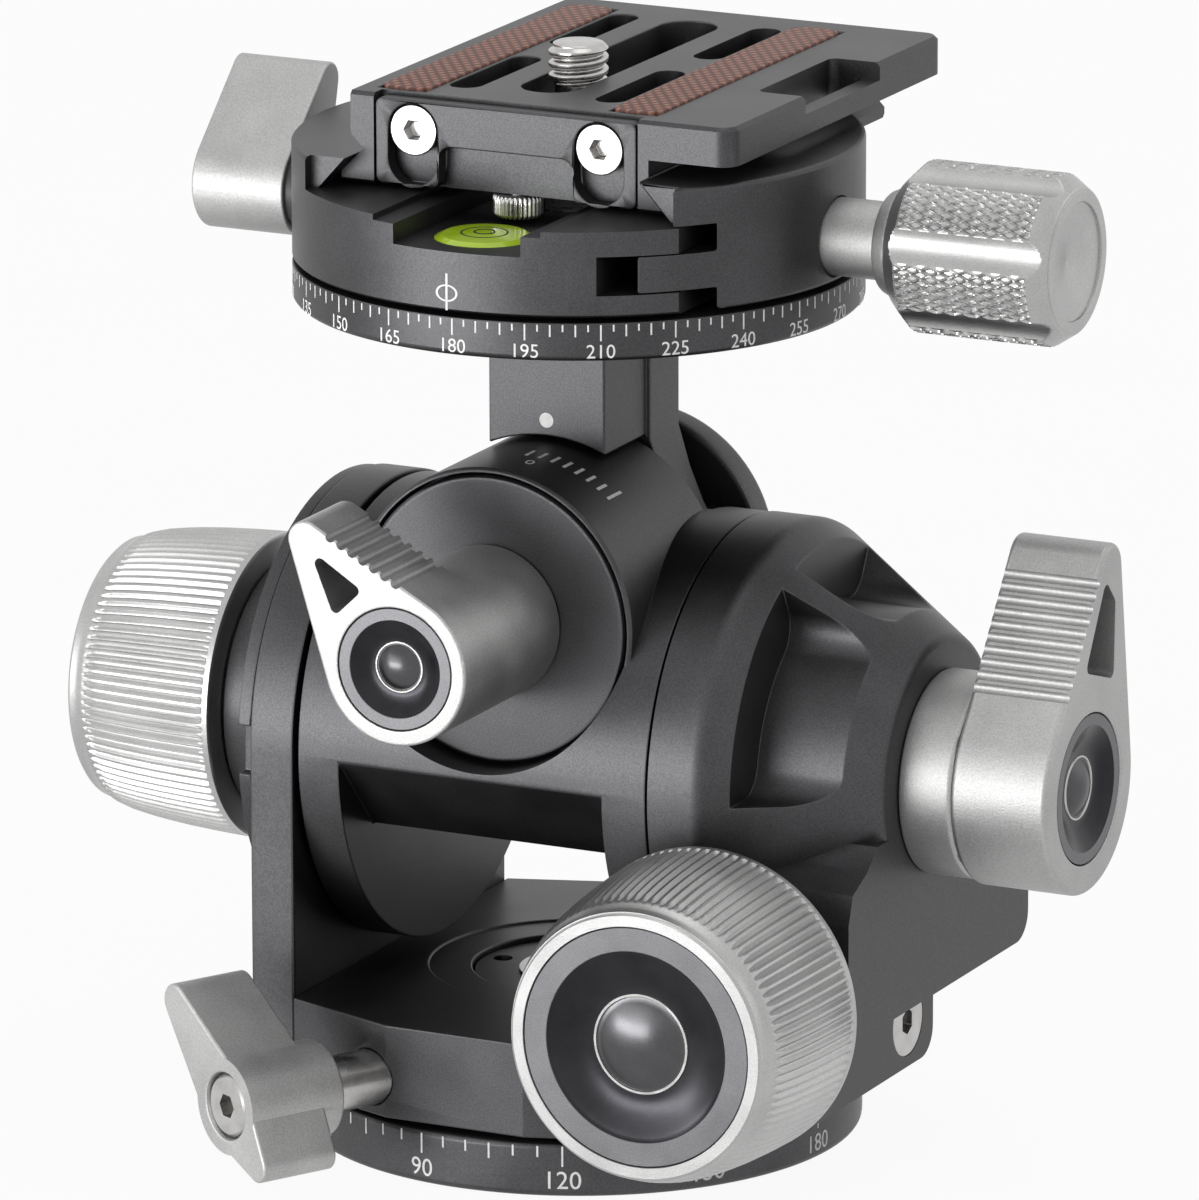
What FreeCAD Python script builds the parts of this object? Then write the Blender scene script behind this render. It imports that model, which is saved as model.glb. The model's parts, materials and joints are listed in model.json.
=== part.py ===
# Geared tripod head: a panning base, a yoke with two worm-geared tilt axes, a panning clamp and a sliding plate.
# Origin at the centre of the base's bottom face, +Z up, front towards -Y. Millimetres and degrees.
import FreeCAD, Part
import math
import os
import Sketcher
from FreeCAD import Placement, Rotation, Vector
from types import SimpleNamespace

SIZES = {
    # gaps shared by all pieces
    "runGap": 0.05,
    "faceGap": 0.1,
    "clearGap": 0.3,
    "edgeBreak": 0.3,
    # base ring, pan spindle and tripod insert
    "baseRadius": 30.0,
    "ringHeight": 6.0,
    "ringEdge": 0.5,
    "flangeRadius": 16.0,
    "flangeInset": 0.4,
    "flangeThick": 2.6,
    "neckRadius": 10.5,
    "journalRadius": 9.5,
    "threadRadius": 6.5,
    "insertRadius": 6.2,
    "insertRoof": 0.3,
    "socketRadius": 3.97,
    "socketDepth": 11.0,
    "flangeScrewCircle": 13.3,
    "flangeScrewLong": 4.6,
    "washerRadius": 14.0,
    "washerThick": 0.6,
    "nutRadius": 11.2,
    "nutThick": 2.1,
    "nutSink": 2.9,
    "nutKeyRadius": 1.05,
    "nutKeyInset": 2.0,
    "nutKeyDeep": 1.0,
    # yoke base
    "yokeHigh": 10.1,
    "yokeRight": 22.0,
    "facetHalf": 8.0,
    "facetInset": 0.1,
    "stepRadius": 16.1,
    "stepDepth": 0.25,
    "armScrewY": 13.9,
    "armScrewBite": 8.0,
    "footScrewY": 10.5,
    "footScrewBite": 7.5,
    "boreSpare": 0.5,
    "yokeScrewRise": 5.0,
    # first tilt axis, running left to right
    "barrelGap": 1.5,
    "barrelRadius": 24.7,
    "sideGap": 0.5,
    "armInner": 21.3,
    "armThick": 5.1,
    "armProud": 0.2,
    "coverThick": 1.5,
    "coverInset": 0.2,
    "coverNotch": 1.5,
    "coverNotchHigh": 2.6,
    "coverScrewCircle": 19.5,
    "coverScrewLong": 4.5,
    "flangeWideLeft": 4.8,
    "flangeWideRight": 5.1,
    "barrelFlatDrop": 8.5,
    "barrelFlatHalf": 16.9,
    "leftTrunnion": 10.0,
    "leftBushWall": 2.0,
    "trunnionProud": 6.1,
    "rightTrunnion": 12.0,
    "trunnionReach": 6.6,
    "hubRadius": 14.0,
    "hubRoof": 1.5,
    # right housing
    "housingInner": 19.9,
    "bandProud": 0.1,
    "bandWide": 5.6,
    "bandRound": 3.0,
    "coneEndRadius": 14.1,
    "coneRound": 1.2,
    "housingLong": 22.0,
    "blockInset": 6.1,
    "blockHalf": 22.7,
    "blockDrop": 5.0,
    "blockRise": 10.0,
    "blockRound": 3.0,
    "blockCorner": 1.0,
    "shoulderHigh": 4.7,
    "shoulderHalf": 15.7,
    "shoulderSlope": 2.5,
    "shoulderStep": 2.6,
    "footWide": 11.5,
    "footHalf": 16.9,
    "footOverlap": 4.0,
    "pocketLand": 2.9,
    "pocketWall": 1.6,
    "pocketRound": 3.5,
    "coreWall": 0.9,
    "ribAngle": 68.0,
    "rearRibAngle": 123.0,
    "ribHalf": 4.5,
    "cavityGap": 0.6,
    "cavityEndGap": 0.5,
    "studGap": 0.4,
    # worm wheel and worm of the first tilt axis
    "tiltWheelRadius": 15.0,
    "tiltToothDeep": 1.2,
    "tiltWheelWidth": 5.5,
    "tiltWheelTeeth": 40,
    "spigotRadius": 6.0,
    "wormShaft": 3.0,
    "tiltWormCrest": 3.9,
    "meshGap": 0.1,
    "wormBoreGap": 0.5,
    "wormPitch": 2.2,
    "wormHalf": 9.0,
    "wormBush": 6.0,
    "wormBossRadius": 12.0,
    "wormBossEnd": 28.5,
    "wormBlind": 3.7,
    # geared knobs
    "knobGap": 0.2,
    "knobInnerRadius": 16.5,
    "knobMidRadius": 15.8,
    "knobShoulderRadius": 14.7,
    "knobRimRadius": 13.9,
    "knobMidDepth": 11.8,
    "knobShoulderDepth": 16.8,
    "knobDepth": 18.3,
    "knobWellRadius": 12.7,
    "knobCapThick": 2.6,
    "knobDishEdge": 10.1,
    "knobDishRadius": 5.3,
    "knobDishDeep": 1.5,
    "knobDomeHigh": 1.3,
    # second tilt axis, running front to back
    "drumRadius": 16.2,
    "drumFront": 20.9,
    "drumBack": 1.0,
    "drumRimWall": 0.5,
    "discThick": 3.4,
    "rollWheelRadius": 12.6,
    "rollToothDeep": 1.0,
    "rollWheelTeeth": 36,
    "rollWheelHalf": 2.9,
    "rollCavityGap": 0.7,
    "rollWormCrest": 3.7,
    "rollBushRadius": 5.0,
    "axleRadius": 5.0,
    "axleEndGap": 0.5,
    "axleCover": 0.7,
    "legDiscGap": 0.7,
    "legSwingRadius": 16.8,
    "legSwingRise": 2.0,
    "cheekHubRadius": 9.0,
    "cheekFront": 12.6,
    "cheekBack": 18.0,
    "cheekRadius": 15.2,
    "cheekChamfer": 1.7,
    # clamping levers with a paddle
    "leverHub": 8.1,
    "leverReach": 22.1,
    "leverPaddle": 9.7,
    "leverTipX": -10.2,
    "leverTipUp": 12.5,
    "leverTip": 2.0,
    "windowTopSide": 0.5,
    "windowTopDrop": 0.8,
    "windowLowSide": 3.3,
    "windowLowDrop": 7.7,
    "windowFarSide": 6.55,
    "windowFarDrop": 4.6,
    "windowRound": 0.6,
    "leverCap": 6.5,
    "leverDishEdge": 5.15,
    "leverDishRadius": 2.6,
    "sideLeverHub": 11.2,
    "collarLong": 6.1,
    "sideLeverThick": 10.8,
    "sideLeverTipY": 5.5,
    "sideLeverTipUp": 22.3,
    "sideLeverTip": 2.7,
    "sideWindowRearIn": 0.9,
    "sideWindowRearDrop": 3.6,
    "sideWindowLowIn": 0.6,
    "sideWindowLowDrop": 11.9,
    "sideWindowFrontOut": 6.6,
    "sideWindowFrontDrop": 9.6,
    "sideWindowTopOut": 1.6,
    "sideWindowTopDrop": 0.9,
    "sideLeverCap": 8.0,
    "sideDishEdge": 6.7,
    "sideDishRadius": 3.4,
    "capDeep": 2.4,
    "leverDishDeep": 1.4,
    "leverDomeHigh": 1.1,
    "ridgePitch": 1.53,
    "ridgeCut": 0.55,
    "ridgeCount": 7,
    "sideRidgeCount": 10,
    "collarRadius": 10.8,
    "leverStud": 3.0,
    "sideStud": 4.0,
    # base lock lever
    "lockTurn": -28.7,
    "lockOffset": 4.94,
    "lockRise": 4.0,
    "lockReach": 18.6,
    "lockHub": 5.2,
    "lockHubLong": 11.6,
    "lockWing": 9.0,
    "longWingOut": 9.5,
    "longWingUp": 8.9,
    "longWingTip": 2.0,
    "shortWingOut": 5.6,
    "shortWingDown": 5.2,
    "shortWingTip": 1.7,
    "wingFootShare": 0.12,
    "lockWingFoot": 4.16,
    "lockStud": 3.0,
    "lockScrew": 3.3,
    "lockScrewThick": 1.2,
    "lockScrewSink": 0.2,
    "shoeReach": 7.0,
    # neck and upper panning ring
    "neckRise": 30.2,
    "earHalf": 6.75,
    "earFront": 7.8,
    "earBack": 2.1,
    "earGap": 0.5,
    "earFoot": 13.0,
    "legHalf": 7.25,
    "legBack": 9.2,
    "legDisc": 12.3,
    "flareFootHalf": 10.4,
    "flareMidHalf": 8.6,
    "flareFootUp": 6.4,
    "flareMidUp": 10.6,
    "flareTopUp": 15.0,
    "neckScrewSide": 4.0,
    "neckScrewFront": -3.5,
    "neckScrewBack": 5.5,
    "neckScrewBite": 4.8,
    "panRingHigh": 4.1,
    "panRadius": 30.0,
    "panJournal": 7.0,
    "panJournalRise": 4.95,
    "panWasher": 8.6,
    "panWasherThick": 1.4,
    "spindleBore": 3.45,
    # clamp, its heights measured up from its bottom
    "clampGap": 0.5,
    "clampHigh": 12.4,
    "channelFloorUp": 8.4,
    "channelLedgeUp": 9.0,
    "ledgeHalf": 9.6,
    "levelSlotLeft": 6.9,
    "levelSlotRight": 7.6,
    "levelSlotUp": 6.3,
    "levelRadius": 5.2,
    "levelDeep": 3.5,
    "levelDome": 0.5,
    "levelSetback": 8.0,
    "fingerSetback": 8.4,
    "fingerTopUp": 6.4,
    "fingerBottomUp": 2.3,
    "pocketInner": 14.8,
    "lipSetback": 10.0,
    "lipEnd": 0.8,
    "jawThick": 5.7,
    "jawHigh": 13.1,
    "jawTravel": 3.0,
    "grooveGap": 1.3,
    "clampScrewUp": 4.7,
    "clampScrewRadius": 2.5,
    "clampScrewBite": 6.0,
    "clampNeckRadius": 4.1,
    "clampNeckLong": 6.0,
    "clampNeckSink": 1.3,
    "clampNeckFlare": 1.2,
    "clampNeckTaper": 2.0,
    "clampKnobLong": 19.0,
    "clampKnobRadius": 9.0,
    "clampKnobRim": 7.3,
    "clampKnobDish": 6.3,
    "clampKnobDishDeep": 1.6,
    "clampKnobWall": 4.1,
    "clampKnobBevel": 2.2,
    "guidePinRadius": 1.5,
    "guidePinY": 9.0,
    "guidePinLong": 3.5,
    "guidePinSeat": 6.0,
    # lever that locks the upper pan
    "panLeverUp": 3.9,
    "panLeverHub": 5.3,
    "panLeverGap": 2.2,
    "panLeverWide": 10.9,
    "panLeverCover": 2.0,
    "panLeverTipY": 6.0,
    "panLeverTipUp": 10.2,
    "panLeverTip": 2.0,
    "panLeverStud": 2.0,
    "panNoseRadius": 0.84,
    "panNoseLong": 0.5,
    # quick plate, its heights measured up from its bottom or down from its top
    "plateFront": 17.2,
    "plateBack": 35.0,
    "plateHigh": 9.7,
    "plateLeft": 17.9,
    "plateRight": 25.9,
    "plateStep": 1.5,
    "dovetailHalf": 19.0,
    "dovetailFlatUp": 1.1,
    "dovetailFlank": 2.6,
    "wingThick": 4.1,
    "slotHalf": 1.7,
    "midSlotHalf": 3.2,
    "slotPitch": 8.4,
    "slotFront": 6.2,
    "slotLong": 16.9,
    "slotBar": 6.5,
    "midSlotFront": 9.4,
    "strapInner": 20.3,
    "strapRail": 1.9,
    "strapRailDrop": 1.9,
    "strapFront": 0.5,
    "strapBack": 18.8,
    "strapRound": 1.0,
    "plateCorner": 2.0,
    "plateEdge": 0.4,
    "webThick": 4.3,
    "hollowHalf": 8.9,
    "hollowFront": 7.5,
    "hollowBack": 6.0,
    "padThick": 0.45,
    "padProud": 0.25,
    "padHalf": 2.75,
    "padCentre": 13.3,
    "padFront": 14.5,
    "padBack": 31.0,
    # camera screw
    "screwRadius": 3.175,
    "screwLong": 3.5,
    "screwTipBevel": 0.6,
    "screwNeck": 2.5,
    "screwHead": 6.0,
    "screwHeadThick": 1.9,
    # anti-twist stop
    "stopHalf": 15.0,
    "stopRise": 0.2,
    "stopDrop": 0.4,
    "stopThick": 1.8,
    "stopSeatGap": 0.2,
    "stopGap": 7.7,
    "stopGapHigh": 4.5,
    "stopCorner": 0.8,
    "stopGapRound": 1.4,
    "stopSlotHalf": 2.83,
    "stopSlotLong": 8.7,
    "stopScrewX": 10.7,
    "stopScrewDrop": 3.6,
    "stopScrewHead": 2.75,
    "stopScrewSink": 0.15,
    "stopScrewBite": 5.0,
    "stopTravel": 3.0,
    # safety stud under the plate
    "safetyRadius": 2.75,
    "safetyShank": 1.0,
    "safetySetback": 3.2,
    "safetyGap": 0.6,
    "safetyBite": 4.0,
    # small screws
    "smallShank": 1.25,
    "smallHead": 2.4,
    "midShank": 1.5,
    "midHead": 2.9,
    "bigShank": 2.0,
    "bigHead": 3.8,
    "headRim": 0.25,
}

OVER = 1  # how far a cutting tool runs past the face it opens
FAR = 5  # how far it runs past a whole piece

document = FreeCAD.newDocument("GearedHead")
pieces = {}


class Size:
    """A number that remembers the sheet expression it comes from."""

    def __init__(self, text, number):
        self.text = text
        self.number = number

    def __add__(self, other):
        other = as_size(other)
        return Size(f"({self.text} + {other.text})", self.number + other.number)

    def __sub__(self, other):
        other = as_size(other)
        return Size(f"({self.text} - {other.text})", self.number - other.number)

    def __mul__(self, other):
        other = as_size(other)
        return Size(f"({self.text} * {other.text})", self.number * other.number)

    def __truediv__(self, other):
        other = as_size(other)
        return Size(f"({self.text} / {other.text})", self.number / other.number)

    def __neg__(self):
        return Size(f"(0 - {self.text})", -self.number)

    def __radd__(self, other):
        return as_size(other) + self

    def __rsub__(self, other):
        return as_size(other) - self

    __rmul__ = __mul__


def as_size(value):
    if isinstance(value, Size):
        return value
    return Size(str(value), value)


def cosine(angle):
    angle = as_size(angle)
    return Size(f"cos({angle.text})", math.cos(math.radians(angle.number)))


def sine(angle):
    angle = as_size(angle)
    return Size(f"sin({angle.text})", math.sin(math.radians(angle.number)))


def fill_sheet():
    """Write every driving size into the sheet and return them as named sizes."""
    sheet = document.addObject("Spreadsheet::Sheet", "Sizes")
    for row, (name, number) in enumerate(SIZES.items(), start=1):
        sheet.set(f"A{row}", name)
        sheet.set(f"B{row}", str(number))
        sheet.setAlias(f"B{row}", name)
    document.recompute()
    return SimpleNamespace(**{name: Size(f"Sizes.{name}", number) for name, number in SIZES.items()})


size = fill_sheet()


def derive_sizes():
    """Places and sizes that follow from the driving ones."""
    # heights from the ground up
    size.insertDepth = size.socketDepth + size.insertRoof
    size.yokeBottom = size.ringHeight + size.washerThick + size.faceGap
    size.yokeTop = size.yokeBottom + size.yokeHigh
    size.journalTop = size.yokeTop - size.nutSink
    size.lockHeight = size.yokeBottom + size.lockRise
    size.yokeScrewZ = size.yokeBottom + size.yokeScrewRise
    size.tiltHeight = size.yokeTop + size.barrelRadius + size.barrelGap
    size.tiltWormDistance = size.tiltWheelRadius + size.tiltWormCrest + size.meshGap
    size.wormHeight = size.tiltHeight - size.tiltWormDistance
    size.blockBottom = size.wormHeight - size.blockDrop
    size.blockTop = size.wormHeight + size.blockRise
    size.barrelFlat = size.tiltHeight - size.barrelFlatDrop
    size.sideLeverTipZ = size.tiltHeight + size.sideLeverTipUp
    size.rollHeight = size.tiltHeight + size.rollWheelRadius + size.rollWormCrest + size.meshGap
    size.legSwingBottom = size.rollHeight + size.legSwingRise
    size.leverTipZ = size.rollHeight + size.leverTipUp
    size.panBottom = size.rollHeight + size.neckRise
    size.clampBottom = size.panBottom + size.panRingHigh + size.clampGap
    size.clampTop = size.clampBottom + size.clampHigh
    size.panJournalTop = size.clampBottom + size.panJournalRise
    size.panLeverHeight = size.clampBottom + size.panLeverUp
    size.panLeverTipZ = size.panLeverHeight + size.panLeverTipUp
    size.clampScrewHeight = size.clampBottom + size.clampScrewUp
    size.fingerBottom = size.clampBottom + size.fingerBottomUp
    size.fingerTop = size.clampBottom + size.fingerTopUp
    size.levelSlotFloor = size.clampBottom + size.levelSlotUp
    size.channelFloor = size.clampBottom + size.channelFloorUp
    size.channelLedge = size.clampBottom + size.channelLedgeUp
    size.jawTop = size.clampBottom + size.jawHigh
    size.plateBottom = size.channelLedge + size.clearGap
    size.dovetailFlat = size.plateBottom + size.dovetailFlatUp
    size.dovetailTop = size.dovetailFlat + size.dovetailFlank
    size.plateTop = size.plateBottom + size.plateHigh
    size.wingBottom = size.plateTop - size.wingThick
    size.webBottom = size.plateTop - size.webThick
    size.stopBottom = size.plateBottom + size.stopRise
    size.stopTop = size.plateTop - size.stopDrop
    size.stopGapTop = size.stopBottom + size.stopGapHigh
    size.stopScrewZ = size.plateTop - size.stopScrewDrop
    size.screwTop = size.plateTop + size.screwLong
    # radii that fit round one another
    size.nutWellRadius = size.nutRadius + size.clearGap
    size.armRadius = size.barrelRadius + size.armProud
    size.coverRadius = size.armRadius - size.coverInset
    size.bandRadius = size.barrelRadius + size.bandProud
    size.leftBushRadius = size.leftTrunnion + size.leftBushWall
    size.cavityRadius = size.tiltWheelRadius + size.cavityGap
    size.pocketCore = size.cavityRadius + size.coreWall
    size.wormBore = size.tiltWormCrest + size.wormBoreGap
    size.tiltWheelRoot = size.tiltWheelRadius - size.tiltToothDeep
    size.rollWheelRoot = size.rollWheelRadius - size.rollToothDeep
    size.rollCavity = size.rollWheelRadius + size.rollCavityGap
    size.discBoreRadius = size.drumRadius - size.drumRimWall
    size.discRadius = size.discBoreRadius - size.clearGap
    size.earInner = size.drumRadius + size.earGap
    size.legSlotRadius = size.legDisc + size.legDiscGap
    size.cheekEndRadius = size.cheekRadius - size.cheekChamfer
    # stations along the two tilt axes
    size.facetFront = size.baseRadius - size.facetInset
    size.facetOuterY = size.armRadius + size.clearGap
    size.armOuter = size.armInner + size.armThick
    size.barrelLeft = size.armInner - size.sideGap
    size.barrelRight = size.housingInner - size.clearGap
    size.flangeFaceLeft = size.barrelLeft - size.flangeWideLeft
    size.flangeFaceRight = size.barrelRight - size.flangeWideRight
    size.leftTrunnionEnd = size.armOuter + size.coverThick + size.trunnionProud
    size.hubEnd = size.leftTrunnionEnd + size.hubRoof
    size.rightTrunnionEnd = size.housingInner + size.trunnionReach
    size.wheelEnd = size.rightTrunnionEnd + size.tiltWheelWidth
    size.bandEnd = size.housingInner + size.bandWide
    size.blockInner = size.housingInner + size.blockInset
    size.housingEnd = size.housingInner + size.housingLong
    size.footRight = size.yokeRight + size.footWide
    size.pocketStart = size.bandEnd + size.pocketLand
    size.pocketEnd = size.housingEnd - size.pocketWall
    size.cavityEnd = size.wheelEnd + size.cavityEndGap
    size.sideLeverStart = size.housingEnd + size.collarLong
    size.sideLeverFace = size.sideLeverStart + size.sideLeverThick
    size.leverFace = size.drumFront + size.leverReach
    size.discBack = size.drumFront - size.discThick
    size.axleFront = size.discBack - size.axleEndGap
    size.axleBack = size.cheekBack - size.axleCover
    size.legSlotFront = size.earBack - size.clearGap
    size.legSlotBack = size.legBack + size.clearGap
    size.lockFace = size.baseRadius + size.lockReach
    # stations on the clamp and the plate
    size.grooveInner = size.dovetailHalf + size.grooveGap
    size.dovetailWaist = size.dovetailHalf - size.dovetailFlank
    size.jawTongueEnd = size.pocketInner + size.jawTravel + size.sideGap
    size.jawInner = size.panRadius - size.jawThick
    size.fingerEnd = size.panRadius - size.fingerSetback
    size.lipFront = size.panRadius - size.lipSetback
    size.levelY = size.panRadius - size.levelSetback
    size.clampNeckEnd = size.panRadius + size.clampNeckLong
    size.clampKnobStart = size.clampNeckEnd + size.clampNeckTaper
    size.clampKnobEnd = size.clampKnobStart + size.clampKnobLong
    size.panLeverInner = size.panRadius + size.panLeverGap
    size.safetyY = size.plateFront - size.safetySetback
    size.stopSeat = size.stopThick + size.stopSeatGap


derive_sizes()

# ---------------------------------------------------------------- building blocks

GROW = {  # turns a shape's own Z towards an axis
    "X": Rotation(Vector(0, 1, 0), 90),
    "Y": Rotation(Vector(1, 0, 0), -90),
    "Z": Rotation(),
}
SPIN = {  # turns a shape's own X towards an axis
    "X": Rotation(),
    "Y": Rotation(Vector(0, 0, 1), 90),
    "Z": Rotation(Vector(0, 1, 0), -90),
}
FACE = {  # turns a drawing's own two axes to (Y, Z), (X, Z) or (X, Y)
    "X": Rotation(Vector(1, 1, 1), 120),
    "Y": Rotation(Vector(1, 0, 0), 90),
    "Z": Rotation(),
}


def bind(item, path, value):
    item.setExpression(path, as_size(value).text)


def spot(axis, centre, along):
    """The X, Y and Z of a point on an axis that runs through a centre."""
    if axis == "X":
        return along, centre[0], centre[1]
    if axis == "Y":
        return centre[0], along, centre[1]
    return centre[0], centre[1], along


def put(item, rotation, place):
    item.Placement = Placement(Vector(*(as_size(value).number for value in place)), rotation)
    for letter, value in zip("xyz", place):
        bind(item, f"Placement.Base.{letter}", value)
    return item


def cylinder(axis, centre, radius, start, end):
    item = document.addObject("Part::Cylinder", "Cylinder")
    bind(item, "Radius", radius)
    bind(item, "Height", end - start)
    return put(item, GROW[axis], spot(axis, centre, start))


def cone(axis, centre, start_radius, end_radius, start, end):
    item = document.addObject("Part::Cone", "Cone")
    bind(item, "Radius1", start_radius)
    bind(item, "Radius2", end_radius)
    bind(item, "Height", end - start)
    return put(item, GROW[axis], spot(axis, centre, start))


def box(left, right, front, back, bottom, top):
    item = document.addObject("Part::Box", "Box")
    bind(item, "Length", right - left)
    bind(item, "Width", back - front)
    bind(item, "Height", top - bottom)
    return put(item, Rotation(), (left, front, bottom))


def fuse(*items):
    item = document.addObject("Part::MultiFuse", "Fuse")
    item.Shapes = list(items)
    item.Refine = True
    return item


def cut(base, *tools):
    item = document.addObject("Part::Cut", "Cut")
    item.Base = base
    item.Tool = tools[0] if len(tools) == 1 else fuse(*tools)
    item.Refine = True
    return item


def common(first, second):
    item = document.addObject("Part::Common", "Common")
    item.Base = first
    item.Tool = second
    return item


def group(items):
    item = document.addObject("Part::Compound", "Group")
    item.Links = list(items)
    return item


def new_sketch():
    """A body with an empty sketch on its own XY plane."""
    body = document.addObject("PartDesign::Body", "Body")
    sketch = body.newObject("Sketcher::SketchObject", "Sketch")
    plane = next(item for item in body.Origin.OriginFeatures if item.Role == "XY_Plane")
    sketch.AttachmentSupport = [(plane, "")]
    sketch.MapMode = "FlatFace"
    return body, sketch


def fix_point(sketch, line, end, point):
    """Hold a sketch point at a bound distance from the sketch's origin."""
    for kind, value in zip(("DistanceX", "DistanceY"), point):
        number = sketch.addConstraint(Sketcher.Constraint(kind, -1, 1, line, end, value.number))
        sketch.setExpression(f"Constraints[{number}]", value.text)


def draw_outline(sketch, outline):
    outline = [(as_size(first), as_size(second)) for first, second in outline]
    corners = [Vector(first.number, second.number, 0) for first, second in outline]
    count = len(corners)
    for index in range(count):
        sketch.addGeometry(Part.LineSegment(corners[index], corners[(index + 1) % count]), False)
    for index in range(count):
        sketch.addConstraint(Sketcher.Constraint("Coincident", index, 2, (index + 1) % count, 1))
    for index, point in enumerate(outline):
        fix_point(sketch, index, 1, point)


def draw_paddle(sketch, hub, hub_radius, tip, tip_radius):
    """Two circles of different size joined by their outer tangents."""
    hub = [as_size(value) for value in hub]
    tip = [as_size(value) for value in tip]
    dx = tip[0].number - hub[0].number
    dy = tip[1].number - hub[1].number
    heading = math.atan2(dy, dx)
    spread = math.acos((hub_radius.number - tip_radius.number) / math.hypot(dx, dy))

    def on_circle(centre, radius, angle):
        return Vector(
            centre[0].number + radius.number * math.cos(angle),
            centre[1].number + radius.number * math.sin(angle),
            0,
        )

    def arc(centre, radius, start, end):
        middle = Vector(centre[0].number, centre[1].number, 0)
        return Part.ArcOfCircle(Part.Circle(middle, Vector(0, 0, 1), radius.number), start, end)

    low, high = heading - spread, heading + spread
    sketch.addGeometry(arc(hub, hub_radius, high, low + 2 * math.pi), False)
    sketch.addGeometry(Part.LineSegment(on_circle(hub, hub_radius, low), on_circle(tip, tip_radius, low)), False)
    sketch.addGeometry(arc(tip, tip_radius, low, high), False)
    sketch.addGeometry(Part.LineSegment(on_circle(tip, tip_radius, high), on_circle(hub, hub_radius, high)), False)
    for index in range(4):
        sketch.addConstraint(Sketcher.Constraint("Tangent", index, 2, (index + 1) % 4, 1))
    for index, centre, radius in ((0, hub, hub_radius), (2, tip, tip_radius)):
        fix_point(sketch, index, 3, centre)
        number = sketch.addConstraint(Sketcher.Constraint("Radius", index, radius.number))
        sketch.setExpression(f"Constraints[{number}]", radius.text)


def raise_sketch(body, sketch, axis, start, end):
    """Pad a sketch from start to end along an axis."""
    pad = body.newObject("PartDesign::Pad", "Pad")
    pad.Profile = sketch
    bind(pad, "Length", end - start)
    base = end if axis == "Y" else start
    put(body, FACE[axis], spot(axis, (0, 0), base))
    return pad


def end_faces(shape):
    """Names of the flat faces that close a pad."""
    flat = []
    for number, face in enumerate(shape.Faces, start=1):
        if face.Surface.TypeId == "Part::GeomPlane" and abs(face.normalAt(0, 0).z) > 0.99:
            flat.append(f"Face{number}")
    return flat


def soften(body, feature, kind, names, amount):
    """Round or chamfer named edges or faces of a body's last feature."""
    dressed = body.newObject(f"PartDesign::{kind}", kind)
    dressed.Base = (feature, names)
    bind(dressed, "Radius" if kind == "Fillet" else "Size", amount)
    return dressed


def round_corners(body, pad, corners):
    """Round a pad's long edges, each found at its corner of the outline."""
    document.recompute()
    for radius, points in corners:
        names = []
        for number, edge in enumerate(pad.Shape.Edges, start=1):
            first, last = edge.Vertexes[0].Point, edge.Vertexes[-1].Point
            if abs(first.z - last.z) < 1e-6:
                continue
            for point in points:
                spot_there = Vector(as_size(point[0]).number, as_size(point[1]).number, first.z)
                if first.distanceToPoint(spot_there) < 1e-4:
                    names.append(f"Edge{number}")
        pad = soften(body, pad, "Fillet", names, radius)
        document.recompute()
    return pad


def prism(axis, start, end, outline, corners=(), edge=None):
    """A straight-sided block: outline in the two other axes, rounded corners, softened ends."""
    body, sketch = new_sketch()
    draw_outline(sketch, outline)
    feature = raise_sketch(body, sketch, axis, as_size(start), as_size(end))
    feature = round_corners(body, feature, corners)
    if edge is not None:
        document.recompute()
        soften(body, feature, "Chamfer", end_faces(feature.Shape), edge)
    return body


def paddle(axis, start, end, hub, hub_radius, tip, tip_radius, edge=None):
    body, sketch = new_sketch()
    draw_paddle(sketch, hub, hub_radius, tip, tip_radius)
    feature = raise_sketch(body, sketch, axis, as_size(start), as_size(end))
    if edge is not None:
        document.recompute()
        soften(body, feature, "Fillet", end_faces(feature.Shape), edge)
    return body


def round_rings(body, feature, rings):
    """Round a turned part's circular edges, each found at its station and radius."""
    for amount, station, radius in rings:
        document.recompute()
        names = []
        for number, edge in enumerate(feature.Shape.Edges, start=1):
            if edge.Curve.TypeId != "Part::GeomCircle":
                continue
            if abs(edge.Curve.Center.x - station.number) < 1e-4 and abs(edge.Curve.Radius - radius.number) < 1e-4:
                names.append(f"Edge{number}")
        feature = soften(body, feature, "Fillet", names, amount)


def turned(axis, centre, profile, rings=()):
    """A turned part: profile points are (distance along the axis, radius)."""
    body, sketch = new_sketch()
    draw_outline(sketch, profile)
    revolution = body.newObject("PartDesign::Revolution", "Revolution")
    revolution.Profile = sketch
    revolution.ReferenceAxis = (sketch, ["H_Axis"])
    revolution.Angle = 360
    round_rings(body, revolution, rings)
    return put(body, SPIN[axis], spot(axis, centre, 0))


def tube(axis, centre, outer, inner, start, end):
    return cut(cylinder(axis, centre, outer, start, end), cylinder(axis, centre, inner, start - OVER, end + OVER))


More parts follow.
